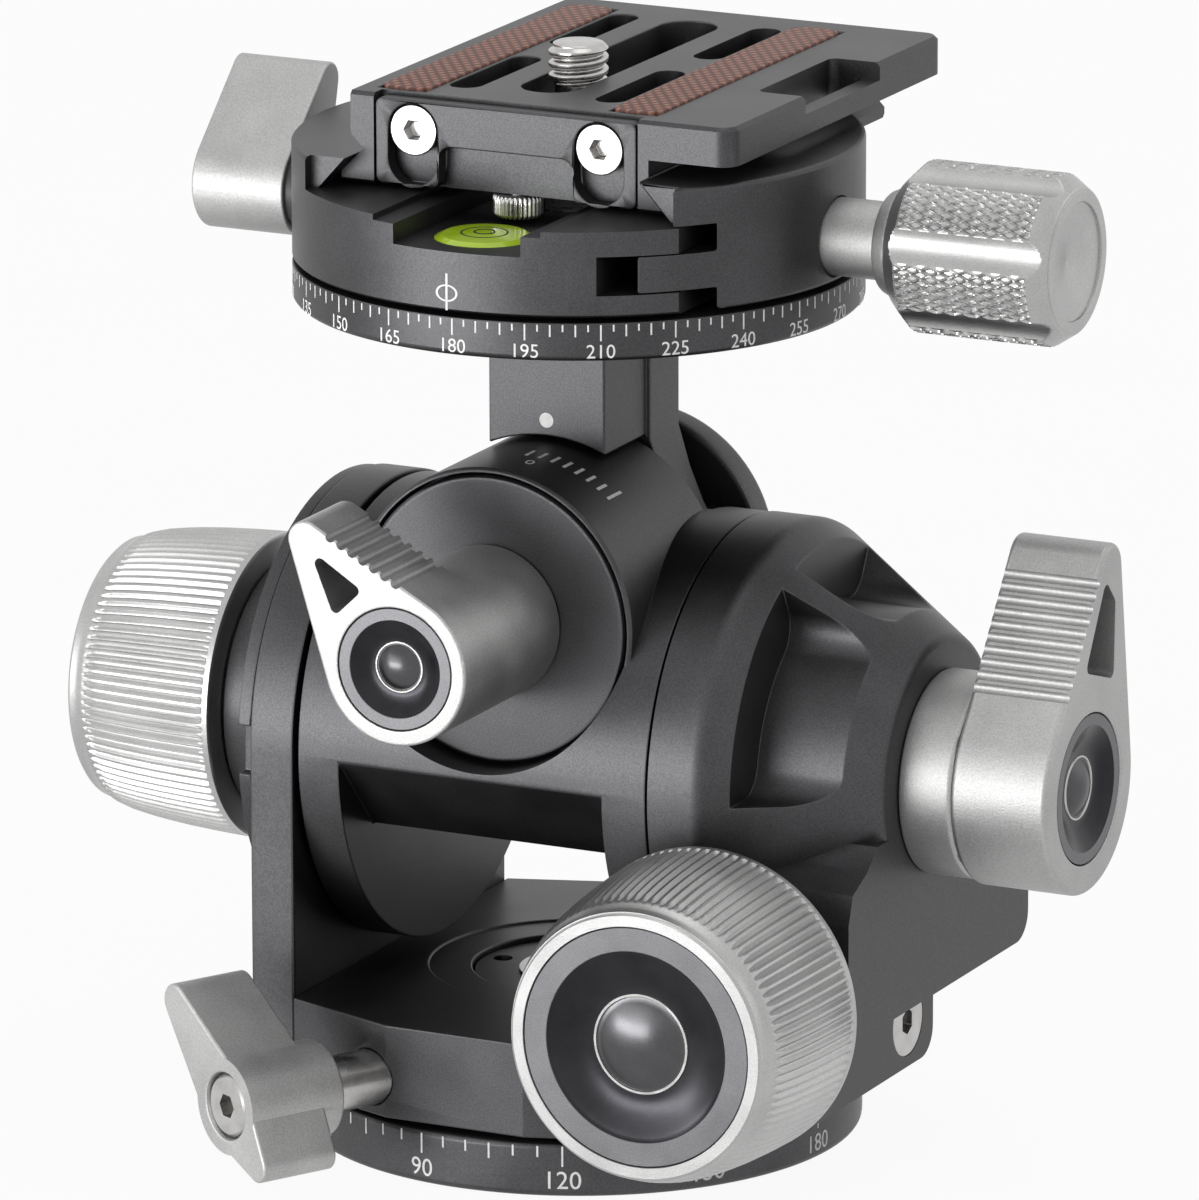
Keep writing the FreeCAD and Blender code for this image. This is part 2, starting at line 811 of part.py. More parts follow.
def toothed_wheel(axis, centre, start, end, tip_radius, root_radius, bore_radius, teeth):
    """A wheel with tapered tooth gaps cut through its rim."""
    body, sketch = new_sketch()
    for index, radius in enumerate((tip_radius, bore_radius)):
        sketch.addGeometry(Part.Circle(Vector(), Vector(0, 0, 1), radius.number), False)
        sketch.addConstraint(Sketcher.Constraint("Coincident", index, 3, -1, 1))
        number = sketch.addConstraint(Sketcher.Constraint("Radius", index, radius.number))
        sketch.setExpression(f"Constraints[{number}]", radius.text)
    pad = body.newObject("PartDesign::Pad", "Pad")
    pad.Profile = sketch
    bind(pad, "Length", end - start)
    gap_sketch = body.newObject("Sketcher::SketchObject", "Gap")
    gap_sketch.AttachmentSupport = sketch.AttachmentSupport
    gap_sketch.MapMode = "FlatFace"
    pitch = tip_radius * (2 * math.pi) / teeth
    mouth = pitch * 0.32
    floor = pitch * 0.16
    outside = tip_radius + size.edgeBreak
    draw_outline(gap_sketch, [(-mouth, outside), (-floor, root_radius), (floor, root_radius), (mouth, outside)])
    pocket = body.newObject("PartDesign::Pocket", "Pocket")
    pocket.Profile = gap_sketch
    pocket.Type = "ThroughAll"
    pocket.Reversed = True
    pattern = body.newObject("PartDesign::PolarPattern", "Teeth")
    pattern.Originals = [pocket]
    pattern.Axis = (gap_sketch, ["N_Axis"])
    pattern.Angle = 360
    bind(pattern, "Occurrences", teeth)
    body.Tip = pattern
    base = end if axis == "Y" else start
    return put(body, FACE[axis], spot(axis, centre, base))


def worm_profile(start, end, rest_start, rest_end, root_radius, crest_radius):
    """A shaft with ring-shaped threads between two stations."""
    points = [(rest_start, 0), (rest_start, root_radius)]
    pitch = size.wormPitch
    rings = int((end.number - start.number) / pitch.number)
    for ring in range(rings):
        foot = start + pitch * ring
        points.append((foot, root_radius))
        points.append((foot + pitch * 0.3, crest_radius))
        points.append((foot + pitch * 0.5, crest_radius))
        points.append((foot + pitch * 0.8, root_radius))
    points.append((rest_end, root_radius))
    points.append((rest_end, 0))
    return points


def screw(axis, centre, face, inward, shank, head, length):
    """A countersunk screw: its head lies flush with a face, and inward is 1 or -1 along the axis."""
    sink = head - shank
    rim = face + inward * size.headRim
    profile = [
        (face, 0),
        (face, head - size.faceGap),
        (rim, head),
        (rim + inward * sink, shank),
        (face + inward * length, shank),
        (face + inward * length, 0),
    ]
    if inward < 0:
        profile.reverse()
    body = turned(axis, centre, profile)
    key = document.addObject("Part::Prism", "Key")
    key.Polygon = 6
    bind(key, "Circumradius", shank * 0.72)
    bind(key, "Height", head * 0.5)
    put(key, GROW[axis], spot(axis, centre, face if inward > 0 else face - head * 0.5))
    return cut(body, key)


def screw_hole(axis, centre, face, inward, shank, head, length):
    """The room that a countersunk screw needs."""
    sink = head - shank
    rim = face + inward * size.headRim
    end = face + inward * length
    mouth = face - inward * OVER
    profile = [(mouth, 0), (mouth, head), (rim, head), (rim + inward * sink, shank)]
    profile += [(end, shank), (end, 0)]
    if inward < 0:
        profile.reverse()
    return turned(axis, centre, profile)


def around(count, radius, first_angle=0):
    """Points evenly spaced on a circle about the Z axis."""
    for index in range(count):
        angle = first_angle + index * 360 / count
        yield radius * cosine(angle), radius * sine(angle)


def piece(name, item):
    item.Label = name
    pieces[name] = item
    return item


AXIS = (as_size(0), as_size(0))
TILT = (as_size(0), size.tiltHeight)
ROLL = (as_size(0), size.rollHeight)


# ---------------------------------------------------------------- base

def base_pieces():
    flange_top = size.flangeInset + size.flangeThick
    seat = size.flangeRadius + size.runGap
    ring = turned("Z", AXIS, [
        (0, seat),
        (0, size.baseRadius - size.ringEdge),
        (size.ringEdge, size.baseRadius),
        (size.ringHeight - size.ringEdge, size.baseRadius),
        (size.ringHeight, size.baseRadius - size.ringEdge),
        (size.ringHeight, size.neckRadius),
        (flange_top, size.neckRadius),
        (flange_top, seat),
    ])
    shank = size.midShank
    holes = [screw_hole("Z", at, size.flangeInset, 1, shank, size.midHead, size.flangeScrewLong)
             for at in around(3, size.flangeScrewCircle, 30)]
    piece("base_ring", cut(ring, *holes))

    shaft = turned("Z", AXIS, [
        (size.flangeInset, size.insertRadius),
        (size.flangeInset, size.flangeRadius),
        (flange_top, size.flangeRadius),
        (flange_top, size.neckRadius),
        (size.ringHeight, size.neckRadius),
        (size.ringHeight, size.journalRadius),
        (size.journalTop, size.journalRadius),
        (size.journalTop, size.threadRadius),
        (size.journalTop + size.nutThick + size.clearGap, size.threadRadius),
        (size.journalTop + size.nutThick + size.clearGap, 0),
        (size.insertDepth, 0),
        (size.insertDepth, size.insertRadius),
    ])
    more = [screw_hole("Z", at, size.flangeInset, 1, shank, size.midHead, size.flangeScrewLong)
            for at in around(3, size.flangeScrewCircle, 30)]
    piece("pan_spindle", cut(shaft, *more))
    piece("tripod_insert", turned("Z", AXIS, [
        (0, size.socketRadius),
        (0, size.insertRadius),
        (size.insertDepth, size.insertRadius),
        (size.insertDepth, 0),
        (size.socketDepth, 0),
        (size.socketDepth, size.socketRadius),
    ]))
    piece("spindle_screws", group(
        screw("Z", at, size.flangeInset, 1, shank, size.midHead, size.flangeScrewLong)
        for at in around(3, size.flangeScrewCircle, 30)))
    washer_top = size.ringHeight + size.washerThick
    piece("pan_washer", tube("Z", AXIS, size.washerRadius, size.journalRadius, size.ringHeight, washer_top))
    nut_top = size.journalTop + size.nutThick
    nut = tube("Z", AXIS, size.nutRadius, size.threadRadius, size.journalTop, nut_top)
    slots = [cylinder("Z", at, size.nutKeyRadius, nut_top - size.nutKeyDeep, nut_top + OVER)
             for at in around(2, size.nutRadius - size.nutKeyInset)]
    piece("pan_nut", cut(nut, *slots))


# ---------------------------------------------------------------- yoke

def lock_line(item):
    """Turn a part about the Z axis onto the base lock's line."""
    item.Placement = Placement(Vector(), Rotation(Vector(0, 0, 1), size.lockTurn.number))
    bind(item, "Placement.Rotation.Angle", size.lockTurn)
    return item


LOCK = (size.lockOffset, size.lockHeight)


def yoke_base_piece():
    bottom = size.yokeBottom
    reach = size.baseRadius + FAR
    block = prism("Z", bottom, size.yokeTop, [
        (-size.armInner, -size.facetOuterY),
        (-size.facetHalf, -size.facetFront),
        (size.facetHalf, -size.facetFront),
        (size.yokeRight, -size.facetOuterY),
        (size.yokeRight, size.facetOuterY),
        (size.facetHalf, size.facetFront),
        (-size.facetHalf, size.facetFront),
        (-size.armInner, size.facetOuterY),
    ])
    well_floor = size.journalTop - size.faceGap
    bore = cylinder("Z", AXIS, size.journalRadius + size.runGap, bottom - OVER, size.yokeTop + OVER)
    well = cylinder("Z", AXIS, size.nutWellRadius, well_floor, size.yokeTop + OVER)
    step = cylinder("Z", AXIS, size.stepRadius, size.yokeTop - size.stepDepth, size.yokeTop + OVER)
    lock_hole = lock_line(group([cylinder("Y", LOCK, size.lockStud + size.runGap, -reach,
                                          -size.journalRadius / 2)]))
    arm_bores = [cylinder("X", (side * size.armScrewY, size.yokeScrewZ), size.bigShank,
                          -size.armInner - OVER, -size.armInner + size.armScrewBite + size.boreSpare)
                 for side in (-1, 1)]
    foot_bores = [cylinder("X", (side * size.footScrewY, size.yokeScrewZ), size.bigShank,
                           size.yokeRight - size.footScrewBite - size.boreSpare, size.yokeRight + OVER)
                  for side in (-1, 1)]
    piece("yoke_base", cut(block, bore, well, step, lock_hole, *arm_bores, *foot_bores))


def left_arm_pieces():
    slab = box(-size.armOuter, -size.armInner, -size.armRadius, size.armRadius, size.yokeBottom, size.tiltHeight)
    head = cylinder("X", TILT, size.armRadius, -size.armOuter, -size.armInner)
    bore = cylinder("X", TILT, size.leftBushRadius, -size.armOuter - OVER, -size.armInner + OVER)
    screw_places = [(side * size.armScrewY, size.yokeScrewZ) for side in (-1, 1)]
    arm_screw_long = size.armThick + size.armScrewBite
    arm_holes = [screw_hole("X", at, -size.armOuter, 1, size.bigShank, size.bigHead, size.armThick + OVER)
                 for at in screw_places]
    cover_places = [(size.coverScrewCircle * sine(angle), size.tiltHeight + size.coverScrewCircle * cosine(angle))
                    for angle in (0, 120, 240)]
    face = -(size.armOuter + size.coverThick)
    tapped = [cylinder("X", at, size.smallShank, -size.armOuter - OVER, face + size.coverScrewLong + size.boreSpare)
              for at in cover_places]
    piece("left_arm", cut(fuse(slab, head), bore, *arm_holes, *tapped))
    arm_screws = [screw("X", at, -size.armOuter, 1, size.bigShank, size.bigHead, arm_screw_long)
                  for at in screw_places]
    plate = cylinder("X", TILT, size.coverRadius, face, -size.armOuter)
    plate_bore = cylinder("X", TILT, size.leftTrunnion + size.clearGap, face - OVER, -size.armOuter + OVER)
    notch = box(face - OVER, -size.armOuter + OVER, -size.coverRadius - OVER, -size.coverRadius + size.coverNotch,
                size.tiltHeight - size.coverNotchHigh, size.tiltHeight + size.coverNotchHigh)
    holes = [screw_hole("X", at, face, 1, size.smallShank, size.smallHead, size.coverScrewLong)
             for at in cover_places]
    piece("left_arm_cover", cut(plate, plate_bore, notch, *holes))
    piece("cover_screws", group(
        screw("X", at, face, 1, size.smallShank, size.smallHead, size.coverScrewLong) for at in cover_places))
    bush = tube("X", TILT, size.leftBushRadius, size.leftTrunnion + size.runGap, -size.armOuter, -size.armInner)
    return arm_screws, bush


def pocket_blank(start, stop):
    """A wedge outside the core of the first tilt axis, between two angles measured up from the front."""
    def at(radius, angle):
        return -radius * cosine(angle), size.tiltHeight + radius * sine(angle)

    body, sketch = new_sketch()
    far = size.bandRadius * 1.5
    corners = [at(size.pocketCore, stop), at(far, stop), at(far, (start + stop) / 2), at(far, start),
               at(size.pocketCore, start)]
    points = [Vector(first.number, second.number, 0) for first, second in corners]
    core = Part.Circle(Vector(0, size.tiltHeight.number, 0), Vector(0, 0, 1), size.pocketCore.number)
    sketch.addGeometry(Part.ArcOfCircle(
        core, math.pi - math.radians(stop.number), math.pi - math.radians(start.number)), False)
    for index in range(4):
        sketch.addGeometry(Part.LineSegment(points[index], points[index + 1]), False)
    for line in range(1, 4):
        sketch.addConstraint(Sketcher.Constraint("Coincident", line, 2, line + 1, 1))
    sketch.addConstraint(Sketcher.Constraint("Coincident", 4, 2, 0, 2))
    sketch.addConstraint(Sketcher.Constraint("Coincident", 0, 1, 1, 1))
    for index in range(4):
        fix_point(sketch, index + 1, 1, corners[index])
    fix_point(sketch, 4, 2, corners[4])
    number = sketch.addConstraint(Sketcher.Constraint("Radius", 0, size.pocketCore.number))
    sketch.setExpression(f"Constraints[{number}]", size.pocketCore.text)
    pad = raise_sketch(body, sketch, "X", size.pocketStart, size.pocketEnd)
    round_corners(body, pad, [(size.pocketRound, [corners[0], corners[4]])])
    return body


WORM_B = (size.rightTrunnionEnd + size.tiltWheelWidth / 2, size.wormHeight)


def right_housing_pieces():
    bottom = size.yokeBottom
    hood = turned("X", TILT, [
        (size.housingInner, 0),
        (size.housingInner, size.bandRadius),
        (size.bandEnd, size.bandRadius),
        (size.housingEnd, size.coneEndRadius),
        (size.housingEnd, 0),
    ], rings=[(size.bandRound, size.bandEnd, size.bandRadius), (size.coneRound, size.housingEnd, size.coneEndRadius)])
    half = size.blockHalf
    shoulder = size.shoulderHalf
    top = size.blockTop
    block = prism("X", size.blockInner, size.housingEnd, [
        (-half, size.blockBottom),
        (half, size.blockBottom),
        (half, top - 2 * size.blockCorner),
        (half - size.blockCorner, top + size.blockCorner),
        (shoulder + size.shoulderSlope, top + size.shoulderStep),
        (shoulder, top + size.shoulderHigh),
        (-shoulder, top + size.shoulderHigh),
        (-shoulder - size.shoulderSlope, top + size.shoulderStep),
        (-half + size.blockCorner, top + size.blockCorner),
        (-half, top - 2 * size.blockCorner),
    ], corners=[(size.blockRound, [(-half, size.blockBottom), (half, size.blockBottom)])])
    foot = prism("X", size.yokeRight, size.footRight, [
        (-size.footHalf, bottom),
        (size.footHalf, bottom),
        (size.footHalf, size.blockBottom + size.footOverlap),
        (-size.footHalf, size.blockBottom + size.footOverlap),
    ], corners=[(size.blockRound, [(-size.footHalf, bottom), (size.footHalf, bottom)])])
    boss = cylinder("Y", WORM_B, size.wormBossRadius, -size.wormBossEnd, -half + 2 * OVER)
    tunnel = cylinder("Y", WORM_B, size.wormBore + size.coreWall, -half, half)
    body = fuse(hood, block, foot, boss, tunnel)
    pockets = [
        pocket_blank(as_size(0), size.ribAngle - size.ribHalf),
        pocket_blank(size.ribAngle + size.ribHalf, size.rearRibAngle - size.ribHalf),
        pocket_blank(size.rearRibAngle + size.ribHalf, as_size(180)),
    ]
    cavity = cylinder("X", TILT, size.cavityRadius, size.housingInner - OVER, size.cavityEnd)
    stud_bore = cylinder("X", TILT, size.sideStud + size.studGap, size.cavityEnd - OVER, size.housingEnd + OVER)
    bore_end = half - size.wormBlind
    worm_bore = cylinder("Y", WORM_B, size.wormBore, -size.wormBossEnd - OVER, bore_end)
    barrel_room = cylinder("X", TILT, size.barrelRadius + size.clearGap, as_size(0), size.housingInner)
    base_room = box(as_size(0), size.yokeRight, -size.wormBossEnd, size.wormBossEnd, bottom - OVER, size.yokeTop)
    foot_places = [(side * size.footScrewY, size.yokeScrewZ) for side in (-1, 1)]
    foot_length = size.footWide + size.footScrewBite
    foot_holes = [screw_hole("X", at, size.footRight, -1, size.bigShank, size.bigHead, foot_length)
                  for at in foot_places]
    piece("right_housing", cut(body, *pockets, cavity, stud_bore, worm_bore, barrel_room, base_room,
                               *foot_holes))
    foot_screws = [screw("X", at, size.footRight, -1, size.bigShank, size.bigHead, foot_length)
                   for at in foot_places]
    bush = tube("X", TILT, size.cavityRadius, size.rightTrunnion + size.runGap,
                size.housingInner, size.rightTrunnionEnd - size.clearGap)
    front = tube("Y", WORM_B, size.wormBore, size.wormShaft + size.runGap,
                 -size.wormBossEnd, -size.wormBossEnd + size.wormBush)
    rear = tube("Y", WORM_B, size.wormBore, size.wormShaft + size.runGap, bore_end - size.wormBush, bore_end)
    piece("tilt_worm_bushes", group([front, rear]))
    collar_end = size.sideLeverStart - size.faceGap
    piece("tilt_collar", turned("X", TILT, [
        (size.housingEnd, size.sideStud + size.runGap),
        (size.housingEnd, size.collarRadius),
        (collar_end - size.edgeBreak, size.collarRadius),
        (collar_end, size.collarRadius - size.edgeBreak),
        (collar_end, size.sideStud + size.runGap),
    ]))
    return foot_screws, bush


def lock_shoe_piece():
    """A brass shoe between the base lock's stud and the pan spindle."""
    stem = cylinder("Y", LOCK, size.lockStud, -(size.journalRadius + size.shoeReach), -size.journalRadius / 2)
    stem = lock_line(group([stem]))
    piece("pan_lock_shoe", cut(stem, cylinder("Z", AXIS, size.journalRadius + size.clearGap, as_size(0),
                                              size.yokeTop)))


# ---------------------------------------------------------------- knobs

def knob_profile(inner, outward):
    """The turned outline of a geared knob's shell, growing outward from its inner end."""
    def at(depth):
        return inner + outward * depth

    well_floor = at(size.knobDepth - size.knobCapThick - size.edgeBreak)
    profile = [
        (at(as_size(0)), size.wormShaft),
        (at(as_size(0)), size.knobInnerRadius - size.edgeBreak),
        (at(size.edgeBreak), size.knobInnerRadius),
        (at(size.knobMidDepth), size.knobMidRadius),
        (at(size.knobShoulderDepth), size.knobShoulderRadius),
        (at(size.knobDepth - size.edgeBreak), size.knobRimRadius + size.edgeBreak),
        (at(size.knobDepth), size.knobRimRadius),
        (at(size.knobDepth), size.knobWellRadius),
        (well_floor, size.knobWellRadius),
        (well_floor, size.wormShaft),
    ]
    return profile if outward > 0 else profile[::-1]


def cap_profile(face, outward, radius, dish_edge, dish_radius, thick, dish_deep, dome_high):
    """A cap with a flat rim just below a face, a dish inside it and a low dome in the middle."""
    def at(depth):
        return face - outward * depth

    profile = [
        (at(thick), 0),
        (at(thick), radius),
        (at(size.faceGap * 2), radius),
        (at(size.faceGap), radius - size.faceGap),
        (at(size.faceGap), dish_edge),
        (at(dish_deep), dish_radius),
    ]
    for step in (0.75, 0.5, 0.25):
        profile.append((at(dish_deep - dome_high * (1 - step * step)), dish_radius * step))
    profile.append((at(dish_deep - dome_high), 0))
    return profile if outward < 0 else profile[::-1]


def geared_knob(name, axis, centre, inner, outward):
    """A fluted knob's shell and its black cap."""
    piece(name, turned(axis, centre, knob_profile(inner, outward)))
    face = inner + outward * size.knobDepth
    piece(f"{name}_cap", turned(axis, centre, cap_profile(
        face, outward, size.knobWellRadius - size.faceGap, size.knobDishEdge, size.knobDishRadius,
        size.knobCapThick + size.edgeBreak, size.knobDishDeep, size.knobDomeHigh)))


def tilt_knob_pieces():
    inner = -(size.wormBossEnd + size.knobGap)
    geared_knob("tilt_knob", "Y", WORM_B, inner, -1)
    end = inner - size.knobDepth + size.knobCapThick + size.edgeBreak
    piece("tilt_worm", turned("Y", WORM_B, worm_profile(
        -size.wormHalf, size.wormHalf, end, size.blockHalf - size.wormBlind - size.clearGap,
        size.wormShaft, size.tiltWormCrest)))


def roll_knob_pieces():
    inner = -(size.hubEnd + size.knobGap)
    geared_knob("roll_knob", "X", TILT, inner, -1)
    end = inner - size.knobDepth + size.knobCapThick + size.edgeBreak
    piece("roll_worm", turned("X", TILT, worm_profile(
        -size.wormHalf, size.wormHalf, end, size.wormHalf + size.wormBush - size.clearGap,
        size.wormShaft, size.rollWormCrest)))


# ---------------------------------------------------------------- barrel

def barrel_pieces():
    body = cylinder("X", TILT, size.barrelRadius, -size.barrelLeft, size.barrelRight)
    beyond = size.barrelRadius + OVER
    window = prism("X", -size.flangeFaceLeft, size.flangeFaceRight, [
        (-beyond, size.tiltHeight),
        (-beyond, size.tiltHeight - beyond),
        (beyond, size.tiltHeight - beyond),
        (beyond, size.tiltHeight),
        (size.barrelRadius, size.tiltHeight),
        (size.barrelFlatHalf, size.barrelFlat),
        (-size.barrelFlatHalf, size.barrelFlat),
        (-size.barrelRadius, size.tiltHeight),
    ])
    left = cylinder("X", TILT, size.leftTrunnion, -size.leftTrunnionEnd, -size.barrelLeft + OVER)
    right = cylinder("X", TILT, size.rightTrunnion, size.barrelRight - OVER, size.rightTrunnionEnd)
    spigot = cylinder("X", TILT, size.spigotRadius, size.rightTrunnionEnd - OVER, size.wheelEnd - size.faceGap)
    drum = turned("Y", ROLL, [
        (-size.drumFront, 0),
        (-size.drumFront, size.drumRadius - size.edgeBreak),
        (-size.drumFront + size.edgeBreak, size.drumRadius),
        (size.drumBack, size.drumRadius),
        (size.drumBack, 0),
    ])
    solid = fuse(cut(body, window), left, right, spigot, drum)
    behind = size.barrelRadius + FAR
    disc_bore = cylinder("Y", ROLL, size.discBoreRadius, -behind, -size.discBack)
    front_bearing = cylinder("Y", ROLL, size.axleRadius + size.runGap, -size.drumFront, as_size(0))
    rear_bearing = cylinder("Y", ROLL, size.axleRadius + size.runGap, as_size(0), behind)
    wheel_room = cylinder("Y", ROLL, size.rollCavity, -(size.rollWheelHalf + size.axleEndGap),
                          size.legSlotFront + size.axleEndGap)
    leg_room = cylinder("Y", ROLL, size.legSlotRadius, size.legSlotFront, size.legSlotBack)
    swing = cylinder("Y", ROLL, size.legSwingRadius, size.legSlotFront, size.legSlotBack)
    swing = cut(swing, box(-size.barrelRadius, size.barrelRadius, size.legSlotFront - OVER, size.legSlotBack + OVER,
                           size.tiltHeight, size.legSwingBottom))
    cheek_room = cylinder("Y", ROLL, size.cheekRadius + size.runGap, size.cheekFront, behind)
    hub_room = cylinder("Y", ROLL, size.cheekHubRadius + size.runGap, size.legSlotBack - OVER,
                        size.cheekFront + OVER)
    left_end = -size.leftTrunnionEnd
    worm_room = cylinder("X", TILT, size.rollBushRadius, -size.wormHalf - size.sideGap, size.wormHalf + size.wormBush)
    shaft_room = cylinder("X", TILT, size.wormShaft + size.studGap, left_end - OVER, size.wormHalf)
    bush_room = cylinder("X", TILT, size.rollBushRadius, left_end - OVER, left_end + size.wormBush)
    piece("barrel", cut(solid, disc_bore, front_bearing, rear_bearing, wheel_room, leg_room, swing, cheek_room,
                        hub_room, worm_room, shaft_room, bush_room))
    piece("tilt_wheel", toothed_wheel("X", TILT, size.rightTrunnionEnd, size.wheelEnd, size.tiltWheelRadius,
                                      size.tiltWheelRoot, size.spigotRadius, size.tiltWheelTeeth))
    piece("front_disc", turned("Y", ROLL, [
        (-size.drumFront, size.leverStud + size.runGap),
        (-size.drumFront, size.discRadius - size.edgeBreak),
        (-size.drumFront + size.edgeBreak, size.discRadius),
        (-size.discBack, size.discRadius),
        (-size.discBack, size.leverStud + size.runGap),
    ]))
    piece("rear_cheek", turned("Y", ROLL, [
        (size.legSlotBack, size.axleRadius + size.runGap),
        (size.legSlotBack, size.cheekHubRadius),
        (size.cheekFront, size.cheekHubRadius),
        (size.cheekFront, size.cheekRadius),
        (size.cheekBack - size.cheekChamfer, size.cheekRadius),
        (size.cheekBack, size.cheekEndRadius),
        (size.cheekBack, 0),
        (size.axleBack + size.faceGap, 0),
        (size.axleBack + size.faceGap, size.axleRadius + size.runGap),
    ]))
    hub_start = -(size.armOuter + size.coverThick + size.clearGap)
    piece("roll_hub", turned("X", TILT, [
        (-size.hubEnd, size.wormShaft + size.clearGap),
        (-size.hubEnd, size.hubRadius - size.edgeBreak),
        (-size.hubEnd + size.edgeBreak, size.hubRadius),
        (hub_start, size.hubRadius),
        (hub_start, size.leftTrunnion),
        (left_end, size.leftTrunnion),
        (left_end, size.wormShaft + size.clearGap),
    ]))
    outer = size.rollBushRadius
    inner = size.wormShaft + size.runGap
    left_bush = tube("X", TILT, outer, inner, left_end, left_end + size.wormBush)
    right_bush = tube("X", TILT, outer, inner, size.wormHalf + size.sideGap, size.wormHalf + size.wormBush)
    piece("roll_worm_bushes", group([left_bush, right_bush]))


# ---------------------------------------------------------------- levers

def ridge_notches(axis, start, end, hub, hub_radius, tip, tip_radius, side, count, first, pitch, deep):
    """Three-sided cutters in a row along one straight edge of a paddle, counted from the tip."""
    dx = tip[0].number - hub[0].number
    dy = tip[1].number - hub[1].number
    reach = math.hypot(dx, dy)
    lean = math.degrees(math.atan2(dy, dx) + side * math.acos((hub_radius.number - tip_radius.number) / reach))
    notches = []
    for index in range(count.number):
        share = (first + pitch * index) / reach
        radius = tip_radius + (hub_radius - tip_radius) * share
        centre = [tip[axis_at] + (hub[axis_at] - tip[axis_at]) * share for axis_at in (0, 1)]
        at = (centre[0] + radius * cosine(lean), centre[1] + radius * sine(lean))
        notches.append(cylinder(axis, at, deep, start - OVER, end + OVER))
    return notches


def front_lever_pieces():
    face = -size.leverFace
    back = face + size.leverPaddle
    hub = cylinder("Y", ROLL, size.leverHub, back - OVER, -(size.drumFront + size.faceGap))
    tip = (size.leverTipX, size.leverTipZ)
    blade = paddle("Y", face, back, ROLL, size.leverHub, tip, size.leverTip, size.edgeBreak)
    window_corners = [
        (tip[0] + size.windowTopSide, tip[1] - size.windowTopDrop),
        (tip[0] + size.windowLowSide, tip[1] - size.windowLowDrop),
        (tip[0] + size.windowFarSide, tip[1] - size.windowFarDrop),
    ]
    window = prism("Y", face - OVER, back + OVER, window_corners, corners=[(size.windowRound, window_corners)])
    notches = ridge_notches("Y", face, back, ROLL, size.leverHub, tip, size.leverTip, -1, size.ridgeCount,
                            size.ridgePitch * 1.6, size.ridgePitch, size.ridgeCut)
    cap_floor = face + size.capDeep + size.edgeBreak
    cap_room = cylinder("Y", ROLL, size.leverCap, face - OVER, cap_floor)
    stud_room = cylinder("Y", ROLL, size.leverStud, face + size.capDeep, -size.drumFront)
    piece("roll_lever", cut(fuse(hub, blade), window, cap_room, stud_room, *notches))
    piece("roll_lever_cap", turned("Y", ROLL, cap_profile(
        face, -1, size.leverCap - size.faceGap, size.leverDishEdge, size.leverDishRadius,
        size.capDeep + size.edgeBreak, size.leverDishDeep, size.leverDomeHigh)))
    piece("roll_lever_stud", cylinder("Y", ROLL, size.leverStud, cap_floor, -(size.axleFront + size.clearGap)))


def side_lever_pieces():
    start = size.sideLeverStart
    face = size.sideLeverFace
    tip = (size.sideLeverTipY, size.sideLeverTipZ)
    blade = paddle("X", start, face, TILT, size.sideLeverHub, tip, size.sideLeverTip, size.edgeBreak * 2)
    corners = [
        (tip[0] + size.sideWindowRearIn, tip[1] - size.sideWindowRearDrop),
        (tip[0] + size.sideWindowLowIn, tip[1] - size.sideWindowLowDrop),
        (tip[0] - size.sideWindowFrontOut, tip[1] - size.sideWindowFrontDrop),
        (tip[0] - size.sideWindowTopOut, tip[1] - size.sideWindowTopDrop),
    ]
    window = prism("X", start - OVER, face + OVER, corners, corners=[(size.edgeBreak * 2.5, corners)])
    notches = ridge_notches("X", start, face, TILT, size.sideLeverHub, tip, size.sideLeverTip, 1, size.sideRidgeCount,
                            size.ridgePitch * 2, size.ridgePitch, size.ridgeCut)
    cap_floor = face - size.capDeep - size.edgeBreak
    cap_room = cylinder("X", TILT, size.sideLeverCap, cap_floor, face + OVER)
    stud_room = cylinder("X", TILT, size.sideStud, start - OVER, face - size.capDeep)
    piece("tilt_lever", cut(blade, window, cap_room, stud_room, *notches))
    piece("tilt_lever_cap", turned("X", TILT, cap_profile(
        face, 1, size.sideLeverCap - size.faceGap, size.sideDishEdge, size.sideDishRadius,
        size.capDeep + size.edgeBreak, size.leverDishDeep, size.leverDomeHigh)))
    piece("tilt_lever_stud", cylinder("X", TILT, size.sideStud, size.wheelEnd + size.faceGap * 2, cap_floor))


